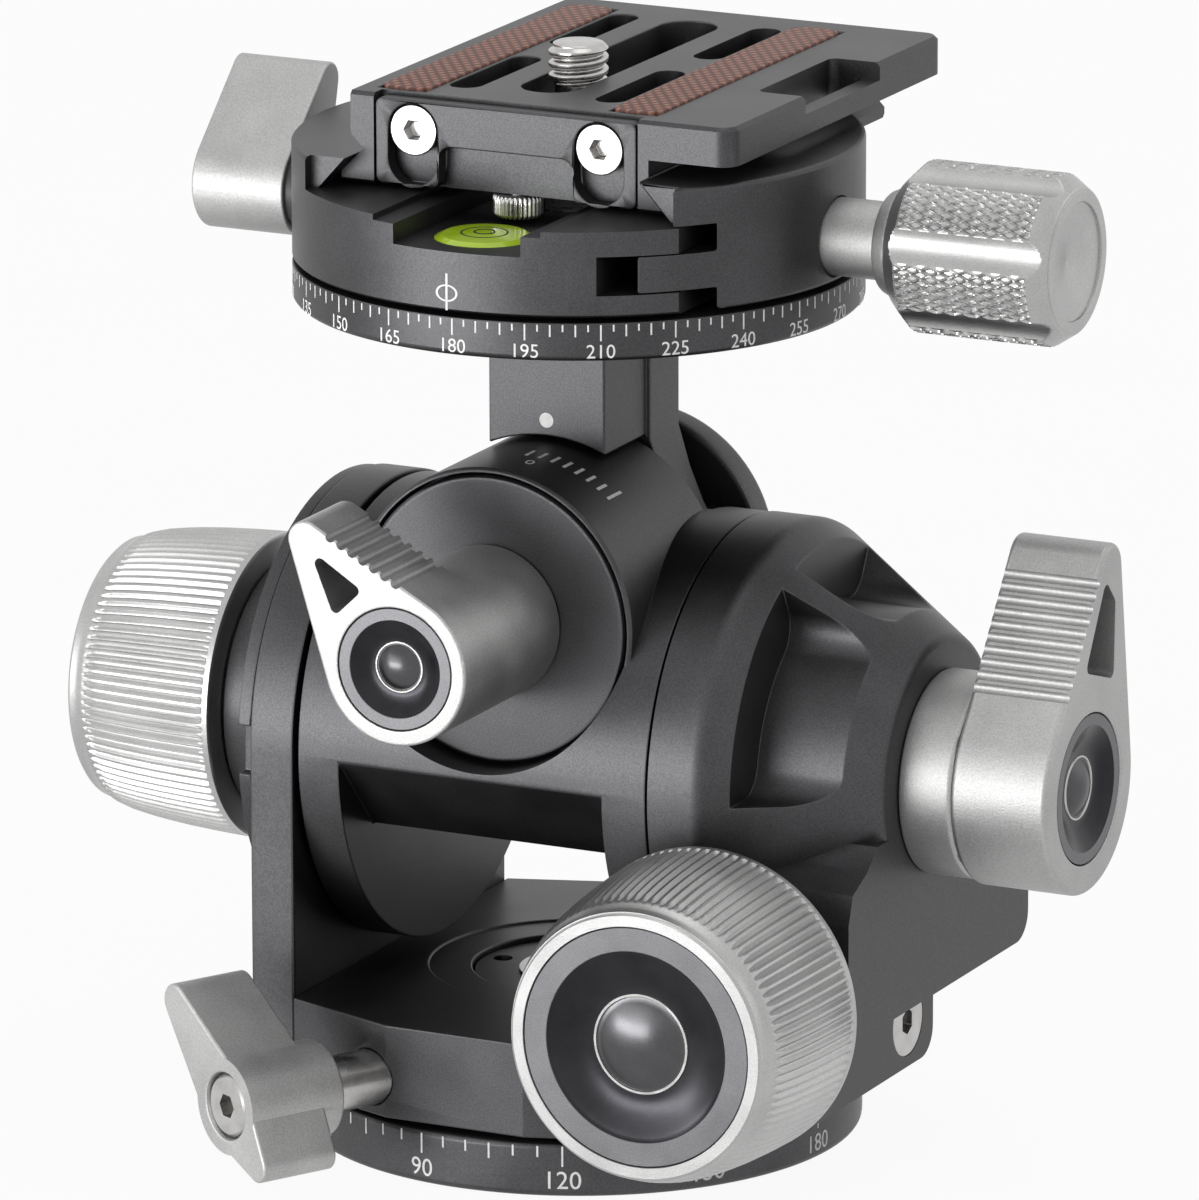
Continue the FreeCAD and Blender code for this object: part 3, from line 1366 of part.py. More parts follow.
def lock_lever_pieces():
    face = -size.lockFace
    hub = cylinder("Y", LOCK, size.lockHub, face, face + size.lockHubLong)
    wings = []
    for tip_x, tip_z, tip_radius in (
        (-size.longWingOut, size.longWingUp, size.longWingTip),
        (size.shortWingOut, -size.shortWingDown, size.shortWingTip),
    ):
        tip = (size.lockOffset + tip_x, size.lockHeight + tip_z)
        foot = (size.lockOffset + tip_x * size.wingFootShare, size.lockHeight + tip_z * size.wingFootShare)
        wings.append(paddle("Y", face, face + size.lockWing, foot, size.lockWingFoot, tip, tip_radius,
                            size.edgeBreak))
    bore = cylinder("Y", LOCK, size.lockStud, face - OVER, face + size.lockHubLong + OVER)
    head_back = face + size.lockScrewSink + size.lockScrewThick
    head_room = cylinder("Y", LOCK, size.lockScrew + size.headRim, face - OVER, head_back)
    piece("pan_lock_lever", lock_line(group([cut(fuse(hub, *wings), bore, head_room)])))
    head = face + size.lockScrewSink
    stud_end = -(size.journalRadius + size.shoeReach + size.sideGap)
    stud = turned("Y", LOCK, [
        (head, 0),
        (head, size.lockScrew - size.edgeBreak),
        (head + size.edgeBreak, size.lockScrew),
        (head_back, size.lockScrew),
        (head_back, size.lockStud),
        (stud_end, size.lockStud),
        (stud_end, 0),
    ])
    key = document.addObject("Part::Prism", "Key")
    key.Polygon = 6
    bind(key, "Circumradius", size.lockStud * 0.45)
    bind(key, "Height", size.lockStud)
    put(key, GROW["Y"], spot("Y", LOCK, face - OVER))
    piece("pan_lock_stud", lock_line(group([cut(stud, key)])))


def pan_lever_pieces():
    outer = -(size.panLeverInner + size.panLeverWide)
    bore_end = outer + size.panLeverCover
    centre = (as_size(0), size.panLeverHeight)
    blade = paddle("X", outer, -size.panLeverInner, centre, size.panLeverHub,
                   (size.panLeverTipY, size.panLeverTipZ), size.panLeverTip, size.edgeBreak)
    bore = cylinder("X", centre, size.panLeverStud, bore_end, -size.panLeverInner + OVER)
    piece("upper_lock_lever", cut(blade, bore))
    piece("upper_lock_washer", tube("X", centre, size.panLeverHub - size.sideGap, size.panLeverStud,
                                    -size.panLeverInner, -(size.panRadius + size.clearGap)))
    nose_start = -(size.panWasher + OVER)
    stem = cylinder("X", centre, size.panLeverStud, bore_end, nose_start)
    nose = cylinder("X", centre, size.panNoseRadius, nose_start - size.panNoseLong,
                    -(size.panJournal + size.clearGap))
    piece("upper_lock_stud", fuse(stem, nose))


# ---------------------------------------------------------------- neck and upper ring

def neck_pieces():
    ear = box(-size.earHalf, size.earHalf, -size.earFront, size.earBack, size.rollHeight + size.earFoot,
              size.panBottom)
    ear = cut(ear, cylinder("Y", ROLL, size.earInner, -size.earFront - OVER, size.earBack + OVER))
    leg = box(-size.legHalf, size.legHalf, size.earBack, size.legBack, size.rollHeight, size.panBottom)
    disc = cylinder("Y", ROLL, size.legDisc, size.earBack, size.legBack)
    foot_up = size.rollHeight + size.flareFootUp
    mid_up = size.rollHeight + size.flareMidUp
    top_up = size.rollHeight + size.flareTopUp
    flare = prism("Y", size.earBack, size.legBack, [
        (-size.flareFootHalf, foot_up),
        (size.flareFootHalf, foot_up),
        (size.flareMidHalf, mid_up),
        (size.legHalf, top_up),
        (-size.legHalf, top_up),
        (-size.flareMidHalf, mid_up),
    ])
    screw_places = [(-size.neckScrewSide, size.neckScrewFront), (size.neckScrewSide, size.neckScrewFront),
                    (as_size(0), size.neckScrewBack)]
    ring_top = size.panBottom + size.panRingHigh
    tapped = [cylinder("Z", at, size.midShank, size.panBottom - size.neckScrewBite - size.sideGap,
                       size.panBottom + OVER) for at in screw_places]
    body = cut(fuse(ear, leg, disc, flare), *tapped,
               cylinder("Y", ROLL, size.axleRadius, size.earBack - OVER, size.legBack + OVER))
    piece("neck", body)
    ring = turned("Z", AXIS, [
        (size.panBottom, 0),
        (size.panBottom, size.panRadius - size.ringEdge),
        (size.panBottom + size.ringEdge, size.panRadius),
        (ring_top, size.panRadius),
        (ring_top, 0),
    ])
    holes = [screw_hole("Z", at, ring_top, -1, size.midShank, size.midHead, size.panRingHigh + OVER)
             for at in screw_places]
    piece("upper_pan_ring", cut(ring, *holes))
    piece("neck_screws", group(screw("Z", at, ring_top, -1, size.midShank, size.midHead,
                                     size.panRingHigh + size.neckScrewBite) for at in screw_places))
    piece("roll_axle", cylinder("Y", ROLL, size.axleRadius, -size.axleFront, size.axleBack))
    piece("roll_wheel", toothed_wheel(
        "Y", ROLL, -size.rollWheelHalf, size.earBack, size.rollWheelRadius, size.rollWheelRoot,
        size.axleRadius, size.rollWheelTeeth))
    washer_top = size.panJournalTop + size.panWasherThick
    bore_floor = size.panJournalTop - size.spindleBore
    piece("upper_spindle", turned("Z", AXIS, [
        (ring_top, 0),
        (ring_top, size.panJournal),
        (size.panJournalTop, size.panJournal),
        (size.panJournalTop, size.smallShank),
        (bore_floor, size.smallShank),
        (bore_floor, 0),
    ]))
    washer = cylinder("Z", AXIS, size.panWasher, size.panJournalTop, washer_top)
    through = size.panWasherThick + OVER
    hole = screw_hole("Z", AXIS, washer_top, -1, size.smallShank, size.smallHead, through)
    piece("upper_washer", cut(washer, hole))
    piece("upper_spindle_screw", screw("Z", AXIS, washer_top, -1, size.smallShank, size.smallHead,
                                       size.panWasherThick + size.spindleBore - size.clearGap))


# ---------------------------------------------------------------- clamp

def grip_disc(top):
    """The round block that the clamp body and its jaw are both cut from."""
    return turned("Z", AXIS, [
        (size.clampBottom, 0),
        (size.clampBottom, size.panRadius - size.edgeBreak),
        (size.clampBottom + size.edgeBreak, size.panRadius),
        (top - size.edgeBreak, size.panRadius),
        (top, size.panRadius - size.edgeBreak),
        (top, 0),
    ])


def dovetail_groove():
    """The room between the clamp's two lips, its sides sloping like the plate's dovetail."""
    waist = size.dovetailWaist + size.clearGap
    reach = size.grooveInner
    top = size.jawTop + FAR
    return prism("Y", -size.panRadius - FAR, size.panRadius + FAR, [
        (-reach, size.channelLedge),
        (reach, size.channelLedge),
        (waist, size.dovetailTop),
        (waist, top),
        (-waist, top),
        (-waist, size.dovetailTop),
    ])


def clamp_pieces():
    reach = size.panRadius + FAR
    over = size.clampTop + OVER
    right_room = box(size.fingerEnd, reach, -reach, reach, size.clampBottom - OVER, over)
    above_fingers = box(size.ledgeHalf, reach, -reach, reach, size.channelLedge, over)
    tongue_room = box(size.pocketInner, reach, -reach, reach, size.fingerBottom, size.fingerTop)
    floor_cut = box(-size.ledgeHalf, size.ledgeHalf, -reach, reach, size.channelFloor, over)
    level_slot = box(-size.levelSlotLeft, size.levelSlotRight, -reach, reach, size.levelSlotFloor, size.clampTop)
    lip_left = -size.grooveInner - size.lipEnd
    lip_front = box(lip_left, size.fingerEnd, -reach, -size.lipFront, size.channelLedge, over)
    lip_back = box(lip_left, size.fingerEnd, size.lipFront, reach, size.channelLedge, over)
    level_at = (as_size(0), -size.levelY)
    level_floor = size.levelSlotFloor - size.levelDeep
    level_room = cylinder("Z", level_at, size.levelRadius, level_floor, size.levelSlotFloor + OVER)
    bore = cylinder("Z", AXIS, size.panJournal + size.runGap, size.clampBottom - OVER, size.clampTop)
    well = cylinder("Z", AXIS, size.panWasher + size.clearGap, size.panJournalTop - size.faceGap, size.clampTop)
    lever_at = (as_size(0), size.panLeverHeight)
    stud_bore = cylinder("X", lever_at, size.panLeverStud + size.runGap, -reach,
                         -(size.panWasher + size.lipEnd))
    nose_bore = cylinder("X", lever_at, size.panNoseRadius + size.runGap * 2, -(size.panWasher + 2 * OVER),
                         -size.panJournal + OVER)
    screw_at = (as_size(0), size.clampScrewHeight)
    screw_start = size.panWasher + 2 * OVER
    screw_bore = cylinder("X", screw_at, size.clampScrewRadius, screw_start, size.fingerEnd + OVER)
    pin_places = [(side * size.guidePinY, size.clampScrewHeight) for side in (-1, 1)]
    pin_start = size.pocketInner - size.guidePinSeat
    pin_bores = [cylinder("X", at, size.guidePinRadius, pin_start, size.pocketInner + OVER) for at in pin_places]
    piece("clamp_body", cut(grip_disc(size.clampTop), right_room, above_fingers, tongue_room, dovetail_groove(),
                            floor_cut, level_slot, lip_front, lip_back, level_room, bore, well, stud_bore,
                            nose_bore, screw_bore, *pin_bores))
    piece("spirit_level", turned("Z", level_at, [
        (level_floor, 0),
        (level_floor, size.levelRadius),
        (size.levelSlotFloor - size.faceGap, size.levelRadius),
        (size.levelSlotFloor + size.edgeBreak, size.levelRadius - size.lipEnd),
        (size.levelSlotFloor + size.levelDome, 0),
    ]))
    piece("guide_pins", group(cylinder("X", at, size.guidePinRadius, pin_start,
                                       size.jawTongueEnd + size.guidePinLong) for at in pin_places))
    piece("clamp_screw", cylinder("X", screw_at, size.clampScrewRadius, screw_start,
                                  size.clampKnobEnd - size.clampScrewBite))


def jaw_pieces():
    reach = size.panRadius + FAR
    above = size.jawTop + OVER
    waist = size.dovetailWaist + size.clearGap
    ledge = size.channelLedge + size.faceGap
    profile = prism("Y", -reach, reach, [
        (size.jawInner, size.clampBottom - OVER),
        (reach, size.clampBottom - OVER),
        (reach, above),
        (waist, above),
        (waist, size.dovetailTop),
        (size.grooveInner, ledge),
        (size.jawInner, ledge),
        (size.jawInner, size.fingerTop - size.faceGap),
        (size.jawTongueEnd, size.fingerTop - size.faceGap),
        (size.jawTongueEnd, size.fingerBottom + size.faceGap),
        (size.jawInner, size.fingerBottom + size.faceGap),
    ])
    lip_left = size.dovetailWaist - OVER
    lip_right = size.grooveInner + size.lipEnd
    lip_front = box(lip_left, lip_right, -reach, -size.lipFront, size.channelLedge, above + OVER)
    lip_back = box(lip_left, lip_right, size.lipFront, reach, size.channelLedge, above + OVER)
    screw_at = (as_size(0), size.clampScrewHeight)
    bore = cylinder("X", screw_at, size.clampScrewRadius + size.runGap, size.pocketInner, reach)
    neck_room = cylinder("X", screw_at, size.clampNeckRadius + size.faceGap,
                         size.panRadius - size.clampNeckSink, reach)
    pin_bores = [cylinder("X", (side * size.guidePinY, size.clampScrewHeight), size.guidePinRadius + size.runGap,
                          size.jawTongueEnd - OVER, size.jawTongueEnd + size.guidePinLong + size.boreSpare)
                 for side in (-1, 1)]
    blank = common(grip_disc(size.jawTop), profile)
    piece("clamp_jaw", cut(blank, lip_front, lip_back, bore, neck_room, *pin_bores))


def clamp_knob_pieces():
    at = (as_size(0), size.clampScrewHeight)
    bore = size.clampScrewRadius + size.runGap
    start = size.clampKnobStart
    end = size.clampKnobEnd
    inner_rim = size.clampKnobRadius - size.clampKnobBevel
    neck_start = size.panRadius - size.clampNeckSink
    piece("clamp_knob_neck", turned("X", at, [
        (neck_start, bore),
        (neck_start, size.clampNeckRadius),
        (size.clampNeckEnd, size.clampNeckRadius),
        (size.clampNeckEnd, size.clampNeckRadius + size.clampNeckFlare),
        (start, inner_rim - size.edgeBreak * 2),
        (start, bore),
    ]))
    dish_floor = end - size.clampKnobDishDeep
    bore_end = dish_floor - size.clampKnobWall
    piece("clamp_knob", turned("X", at, [
        (start, bore),
        (start, inner_rim),
        (start + size.clampKnobBevel, size.clampKnobRadius),
        (end - size.clampKnobBevel, size.clampKnobRadius),
        (end, size.clampKnobRim),
        (end, size.clampKnobDish),
        (dish_floor, size.clampKnobDish),
        (dish_floor, 0),
        (bore_end, 0),
        (bore_end, bore),
    ]))


# ---------------------------------------------------------------- quick plate

def long_slot(centre_x, half, front, back, bottom, top):
    """A slot with round ends, cut down through a plate along Y."""
    ends = [cylinder("Z", (centre_x, end), half, bottom, top) for end in (front + half, back - half)]
    return fuse(*ends, box(centre_x - half, centre_x + half, front + half, back - half, bottom, top))


def strap_slot_tools():
    """A slot for a strap through the plate's right wing, with a lower rail outside it."""
    rail_left = size.plateRight - size.strapRail
    corners = [(size.strapInner, size.strapFront), (rail_left, size.strapFront),
               (rail_left, size.strapBack), (size.strapInner, size.strapBack)]
    through = prism("Z", size.wingBottom - OVER, size.plateTop + OVER, corners, corners=[(size.strapRound, corners)])
    rail = box(rail_left - OVER, size.plateRight + OVER, size.strapFront, size.strapBack,
               size.plateTop - size.strapRailDrop, size.plateTop + OVER)
    return [through, rail]


def plate_pieces():
    front = -size.plateFront
    back = size.plateBack
    above = size.plateTop + OVER
    section = prism("Y", front, back, [
        (-size.dovetailHalf, size.plateBottom),
        (size.dovetailHalf, size.plateBottom),
        (size.dovetailHalf, size.dovetailFlat),
        (size.dovetailWaist, size.dovetailTop),
        (size.dovetailWaist, size.wingBottom),
        (size.plateRight, size.wingBottom),
        (size.plateRight, size.plateTop),
        (-size.plateLeft, size.plateTop),
        (-size.plateLeft, size.dovetailTop + size.plateStep),
        (-size.dovetailWaist, size.dovetailTop),
        (-size.dovetailHalf, size.dovetailFlat),
    ])
    corners = [(-size.dovetailHalf, front), (size.plateRight, front), (size.plateRight, back),
               (-size.dovetailHalf, back)]
    rounded = prism("Z", size.plateBottom, size.plateTop, corners,
                    corners=[(size.plateCorner, corners[1:3])], edge=size.plateEdge)
    stud_hole = cylinder("Z", (as_size(0), -size.safetyY), size.safetyShank, size.plateBottom - OVER,
                         size.plateBottom + size.safetyBite)
    hollow = box(-size.hollowHalf, size.hollowHalf, front + size.hollowFront, back - size.hollowBack,
                 size.plateBottom - OVER, size.webBottom)
    tools = [stud_hole, hollow, *strap_slot_tools()]
    row_front = front + size.slotFront
    row_back = row_front + size.slotLong + size.slotBar
    for side in (-1, 1):
        for start in (row_front, row_back):
            tools.append(long_slot(side * size.slotPitch, size.slotHalf, start, start + size.slotLong,
                                   size.plateBottom, above))
        tools.append(box(side * size.padCentre - size.padHalf, side * size.padCentre + size.padHalf,
                         -size.padFront, size.padBack, size.plateTop - size.padThick, above))
    tools.append(long_slot(as_size(0), size.midSlotHalf, -size.midSlotFront, row_back + size.slotLong,
                           size.plateBottom, above))
    tools.append(box(-size.stopHalf - size.stopSeatGap, size.stopHalf + size.stopSeatGap, front - OVER,
                     front + size.stopSeat, size.plateBottom - OVER, size.stopTop + size.stopTravel + FAR))
    face = front + size.stopSeat
    for side in (-1, 1):
        tools.append(cylinder("Y", (side * size.stopScrewX, size.stopScrewZ), size.midShank, face - OVER,
                              front + size.stopThick + size.stopScrewBite + size.boreSpare))
    piece("quick_plate", cut(common(section, rounded), *tools))
    piece("grip_pads", group(
        box(side * size.padCentre - size.padHalf, side * size.padCentre + size.padHalf,
            -size.padFront, size.padBack, size.plateTop - size.padThick, size.plateTop + size.padProud)
        for side in (-1, 1)))


def obround(centre_x, bottom, top, half, front, back):
    """An upright slot with round ends, cut along Y."""
    low = cylinder("Y", (centre_x, bottom + half), half, front, back)
    high = cylinder("Y", (centre_x, top - half), half, front, back)
    return fuse(low, high, box(centre_x - half, centre_x + half, front, back, bottom + half, top - half))


def stop_pieces():
    front = -size.plateFront
    back = front + size.stopThick
    outline = [
        (-size.stopHalf, size.stopBottom),
        (-size.stopGap, size.stopBottom),
        (-size.stopGap, size.stopGapTop),
        (size.stopGap, size.stopGapTop),
        (size.stopGap, size.stopBottom),
        (size.stopHalf, size.stopBottom),
        (size.stopHalf, size.stopTop),
        (-size.stopHalf, size.stopTop),
    ]
    panel = prism("Y", front, back, outline,
                  corners=[(size.stopCorner, outline[:2] + outline[4:]), (size.stopGapRound, outline[2:4])])
    slots = []
    screws = []
    for side in (-1, 1):
        centre = side * size.stopScrewX
        top = size.stopScrewZ + size.stopSlotHalf
        slots.append(obround(centre, top - size.stopSlotLong, top, size.stopSlotHalf, front - OVER, back + OVER))
        screws.append(screw("Y", (centre, size.stopScrewZ), front + size.stopScrewSink, 1, size.midShank,
                            size.stopScrewHead, size.stopThick - size.stopScrewSink + size.stopScrewBite))
    piece("anti_twist_stop", cut(panel, *slots))
    piece("stop_screws", group(screws))


def camera_screw_piece():
    head_top = size.webBottom - size.faceGap
    body = turned("Z", AXIS, [
        (head_top - size.screwHeadThick, 0),
        (head_top - size.screwHeadThick, size.screwHead),
        (head_top, size.screwHead),
        (head_top, size.screwNeck),
        (size.plateTop, size.screwNeck),
        (size.plateTop, size.screwRadius),
        (size.screwTop - size.screwTipBevel, size.screwRadius),
        (size.screwTop, size.screwRadius - size.screwTipBevel),
        (size.screwTop, 0),
    ])
    piece("camera_screw", body)


def safety_stud_piece():
    at = (as_size(0), -size.safetyY)
    foot = size.levelSlotFloor + size.safetyGap
    piece("safety_stud", fuse(
        cylinder("Z", at, size.safetyRadius, foot, size.plateBottom),
        cylinder("Z", at, size.safetyShank, foot, size.plateBottom + size.safetyBite)))


# ---------------------------------------------------------------- write out

def check_and_export():
    document.recompute()
    for item in document.Objects:
        if {"Invalid", "Error"} & set(item.State):
            raise RuntimeError(f"{item.Name} ({item.Label}) failed: {item.State}")
    for name, item in pieces.items():
        if item.Shape.isNull() or not item.Shape.isValid() or not item.Shape.Solids:
            raise RuntimeError(f"{name} has no valid solid")
    os.makedirs("parts", exist_ok=True)
    for name, item in pieces.items():
        item.Shape.exportStep(f"parts/{name}.step")
        print(f"{name}: {len(item.Shape.Solids)} solid(s), {item.Shape.Volume / 1000:.2f} cm3")


base_pieces()
yoke_base_piece()
left_screws, left_bush = left_arm_pieces()
right_screws, right_bush = right_housing_pieces()
piece("yoke_screws", group(left_screws + right_screws))
piece("tilt_bushes", group([left_bush, right_bush]))
lock_shoe_piece()
tilt_knob_pieces()
roll_knob_pieces()
barrel_pieces()
front_lever_pieces()
side_lever_pieces()
lock_lever_pieces()
pan_lever_pieces()
neck_pieces()
clamp_pieces()
jaw_pieces()
clamp_knob_pieces()
plate_pieces()
stop_pieces()
camera_screw_piece()
safety_stud_piece()
check_and_export()
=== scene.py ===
import bmesh
import bpy
import json
import math
from mathutils import Matrix, Vector


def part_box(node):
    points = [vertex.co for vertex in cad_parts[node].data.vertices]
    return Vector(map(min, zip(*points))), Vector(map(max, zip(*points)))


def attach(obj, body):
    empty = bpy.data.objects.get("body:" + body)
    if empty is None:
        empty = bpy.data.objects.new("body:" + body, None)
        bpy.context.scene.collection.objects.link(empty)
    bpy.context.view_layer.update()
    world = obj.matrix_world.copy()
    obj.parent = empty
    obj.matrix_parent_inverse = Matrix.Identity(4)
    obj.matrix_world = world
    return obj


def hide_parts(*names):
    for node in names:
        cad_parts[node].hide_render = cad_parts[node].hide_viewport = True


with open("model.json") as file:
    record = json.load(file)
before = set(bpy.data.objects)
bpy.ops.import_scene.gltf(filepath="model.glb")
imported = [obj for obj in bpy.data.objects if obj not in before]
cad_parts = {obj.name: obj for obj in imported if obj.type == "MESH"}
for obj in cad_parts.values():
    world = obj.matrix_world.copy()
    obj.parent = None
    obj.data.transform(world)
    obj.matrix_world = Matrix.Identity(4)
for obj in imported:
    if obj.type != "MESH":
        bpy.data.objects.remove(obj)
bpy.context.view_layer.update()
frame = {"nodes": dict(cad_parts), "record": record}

mm = 0.001
scene = bpy.context.scene
print("frame loaded:", len(frame["nodes"]), "nodes")

# node trees

def newMaterial(name):
    material = bpy.data.materials.new(name)
    material.use_nodes = True
    tree = material.node_tree
    tree.nodes.clear()
    output = tree.nodes.new("ShaderNodeOutputMaterial")
    return material, tree, output


def addNode(tree, kind, **values):
    # a node whose sockets and settings are given by name
    node = tree.nodes.new(kind)
    for key, value in values.items():
        if key in node.inputs:
            node.inputs[key].default_value = value
        else:
            setattr(node, key, value)
    return node


def setInputs(node, values):
    for key, value in values.items():
        node.inputs[key].default_value = value


def join(tree, fromNode, fromSocket, toNode, toSocket):
    tree.links.new(fromNode.outputs[fromSocket], toNode.inputs[toSocket])


def objectPoint(tree):
    return addNode(tree, "ShaderNodeTexCoord")


def noise(tree, point, size, detail=2.0, roughness=0.5):
    # noise whose grains are about size millimetres across
    node = addNode(tree, "ShaderNodeTexNoise")
    setInputs(node, {"Scale": 1 / (size * mm), "Detail": detail, "Roughness": roughness})
    join(tree, point, "Object", node, "Vector")
    return node


def spread(tree, source, socket, low, high, fromLow=0.35, fromHigh=0.65):
    # maps a texture's middle range to low..high
    node = addNode(tree, "ShaderNodeMapRange")
    setInputs(node, {"From Min": fromLow, "From Max": fromHigh, "To Min": low, "To Max": high})
    join(tree, source, socket, node, "Value")
    return node


def tint(tree, source, dark, light):
    # a colour between dark and light
    node = addNode(tree, "ShaderNodeMix", data_type="RGBA")
    node.inputs["A"].default_value = (*dark, 1)
    node.inputs["B"].default_value = (*light, 1)
    join(tree, source, 0, node, "Factor")
    return node


def bump(tree, source, socket, depth, strength=1.0, under=None):
    node = addNode(tree, "ShaderNodeBump")
    setInputs(node, {"Strength": strength, "Distance": depth * mm})
    join(tree, source, socket, node, "Height")
    if under is not None:
        join(tree, under, "Normal", node, "Normal")
    return node


# finishes

def blastedMetal(name, look):
    # bead-blasted, anodised aluminium: fine grain and faint clouding
    material, tree, output = newMaterial(name)
    point = objectPoint(tree)
    shader = addNode(tree, "ShaderNodeBsdfPrincipled", Metallic=look["metallic"])
    cloud = noise(tree, point, look["cloudSize"], detail=3)
    grain = noise(tree, point, look["grainSize"], detail=1.5)
    cloudShare = spread(tree, cloud, "Fac", 0, 1)
    colour = tint(tree, cloudShare, look["dark"], look["light"])
    grainShare = spread(tree, grain, "Fac", 0, 1)
    speck = tint(tree, grainShare, [1 - look["speck"]] * 3, [1, 1, 1])
    product = addNode(tree, "ShaderNodeMix", data_type="RGBA", blend_type="MULTIPLY")
    product.inputs["Factor"].default_value = 1
    join(tree, colour, "Result", product, "A")
    join(tree, speck, "Result", product, "B")
    join(tree, product, "Result", shader, "Base Color")
    rough = spread(tree, cloud, "Fac", look["roughLow"], look["roughHigh"])
    join(tree, rough, "Result", shader, "Roughness")
    relief = bump(tree, grain, "Fac", look["grainDepth"])
    join(tree, relief, "Normal", shader, "Normal")
    join(tree, shader, "BSDF", output, "Surface")
    return material


blackLook = {
    "metallic": 1.0,
    "dark": (0.077, 0.077, 0.08),
    "light": (0.094, 0.094, 0.098),
    "cloudSize": 9,
    "grainSize": 0.17,
    "speck": 0.26,
    "roughLow": 0.42,
    "roughHigh": 0.47,
    "grainDepth": 0.006,
}
silverLook = {
    "metallic": 1.0,
    "dark": (0.43, 0.43, 0.427),
    "light": (0.5, 0.5, 0.496),
    "cloudSize": 8,
    "grainSize": 0.2,
    "speck": 0.16,
    "roughLow": 0.5,
    "roughHigh": 0.56,
    "grainDepth": 0.02,
}
knobLook = {
    "metallic": 1.0,
    "dark": (0.43, 0.43, 0.427),
    "light": (0.5, 0.5, 0.496),
    "cloudSize": 8,
    "grainSize": 0.18,
    "speck": 0.14,
    "roughLow": 0.36,
    "roughHigh": 0.42,
    "grainDepth": 0.012,
}
capLook = {
    "metallic": 1.0,
    "dark": (0.026, 0.026, 0.029),
    "light": (0.036, 0.036, 0.039),
    "cloudSize": 6,
    "grainSize": 0.14,
    "speck": 0.12,
    "roughLow": 0.26,
    "roughHigh": 0.3,
    "grainDepth": 0.003,
}
landLook = {
    "metallic": 1.0,
    "dark": (0.155, 0.155, 0.162),
    "light": (0.18, 0.18, 0.187),
    "cloudSize": 5,
    "grainSize": 0.16,
    "speck": 0.2,
    "roughLow": 0.4,
    "roughHigh": 0.46,
    "grainDepth": 0.006,
}
domeLook = {
    "metallic": 1.0,
    "dark": (0.085, 0.085, 0.089),
    "light": (0.1, 0.1, 0.104),
    "cloudSize": 4,
    "grainSize": 0.14,
    "speck": 0.12,
    "roughLow": 0.26,
    "roughHigh": 0.32,
    "grainDepth": 0.003,
}
steelLook = {
    "metallic": 1.0,
    "dark": (0.46, 0.45, 0.44),
    "light": (0.55, 0.54, 0.53),
    "cloudSize": 2,
    "grainSize": 0.12,
    "speck": 0.06,
    "roughLow": 0.24,
    "roughHigh": 0.32,
    "grainDepth": 0.003,
}
brassLook = {
    "metallic": 1.0,
    "dark": (0.62, 0.44, 0.18),
    "light": (0.74, 0.55, 0.26),
    "cloudSize": 3,
    "grainSize": 0.15,
    "speck": 0.08,
    "roughLow": 0.22,
    "roughHigh": 0.32,
    "grainDepth": 0.004,
}
plasticLook = {
    "metallic": 0.0,
    "dark": (0.02, 0.02, 0.02),
    "light": (0.03, 0.03, 0.03),
    "cloudSize": 4,
    "grainSize": 0.2,
    "speck": 0.1,
    "roughLow": 0.42,
    "roughHigh": 0.5,
    "grainDepth": 0.004,
}
rubberLook = {
    "metallic": 0.0,
    "dark": (0.11, 0.042, 0.03),
    "light": (0.36, 0.165, 0.115),
    "pitch": 1.05,
    "slant": 34,
    "valley": 0.05,
    "crown": 0.6,
    "rough": 0.6,
    "depth": 0.14,
}
paintLook = {
    "metallic": 0.0,
    "dark": (0.74, 0.74, 0.73),
    "light": (0.86, 0.86, 0.85),
    "cloudSize": 0.8,
    "grainSize": 0.1,
    "speck": 0.08,
    "roughLow": 0.5,
    "roughHigh": 0.6,
    "grainDepth": 0.003,
}
liquidLook = {
    "metallic": 0.0,
    "dark": (0.42, 0.62, 0.02),
    "light": (0.55, 0.78, 0.05),
    "cloudSize": 6,
    "grainSize": 0.5,
    "speck": 0.03,
    "roughLow": 0.05,
    "roughHigh": 0.09,
    "grainDepth": 0.0005,
}


def wovenRubber(name, look):
    # two slanting waves crossed, so that raised threads run both ways
    material, tree, output = newMaterial(name)
    point = objectPoint(tree)
    shader = addNode(tree, "ShaderNodeBsdfPrincipled", Roughness=look["rough"])
    crossed = addNode(tree, "ShaderNodeMath", operation="MULTIPLY")
    for socket, turn in enumerate((look["slant"], -look["slant"])):
        turned = addNode(tree, "ShaderNodeMapping")
        turned.inputs["Rotation"].default_value = (0, 0, math.radians(turn))
        wave = addNode(tree, "ShaderNodeTexWave", Scale=math.pi / (10 * look["pitch"] * mm))
        join(tree, point, "Object", turned, "Vector")
        join(tree, turned, "Vector", wave, "Vector")
        join(tree, wave, "Fac", crossed, socket)
    height = spread(tree, crossed, "Value", 0, 1, look["valley"], look["crown"])
    colour = tint(tree, height, look["dark"], look["light"])
    join(tree, colour, "Result", shader, "Base Color")
    relief = bump(tree, crossed, "Value", look["depth"])
    join(tree, relief, "Normal", shader, "Normal")
    join(tree, shader, "BSDF", output, "Surface")
    return material


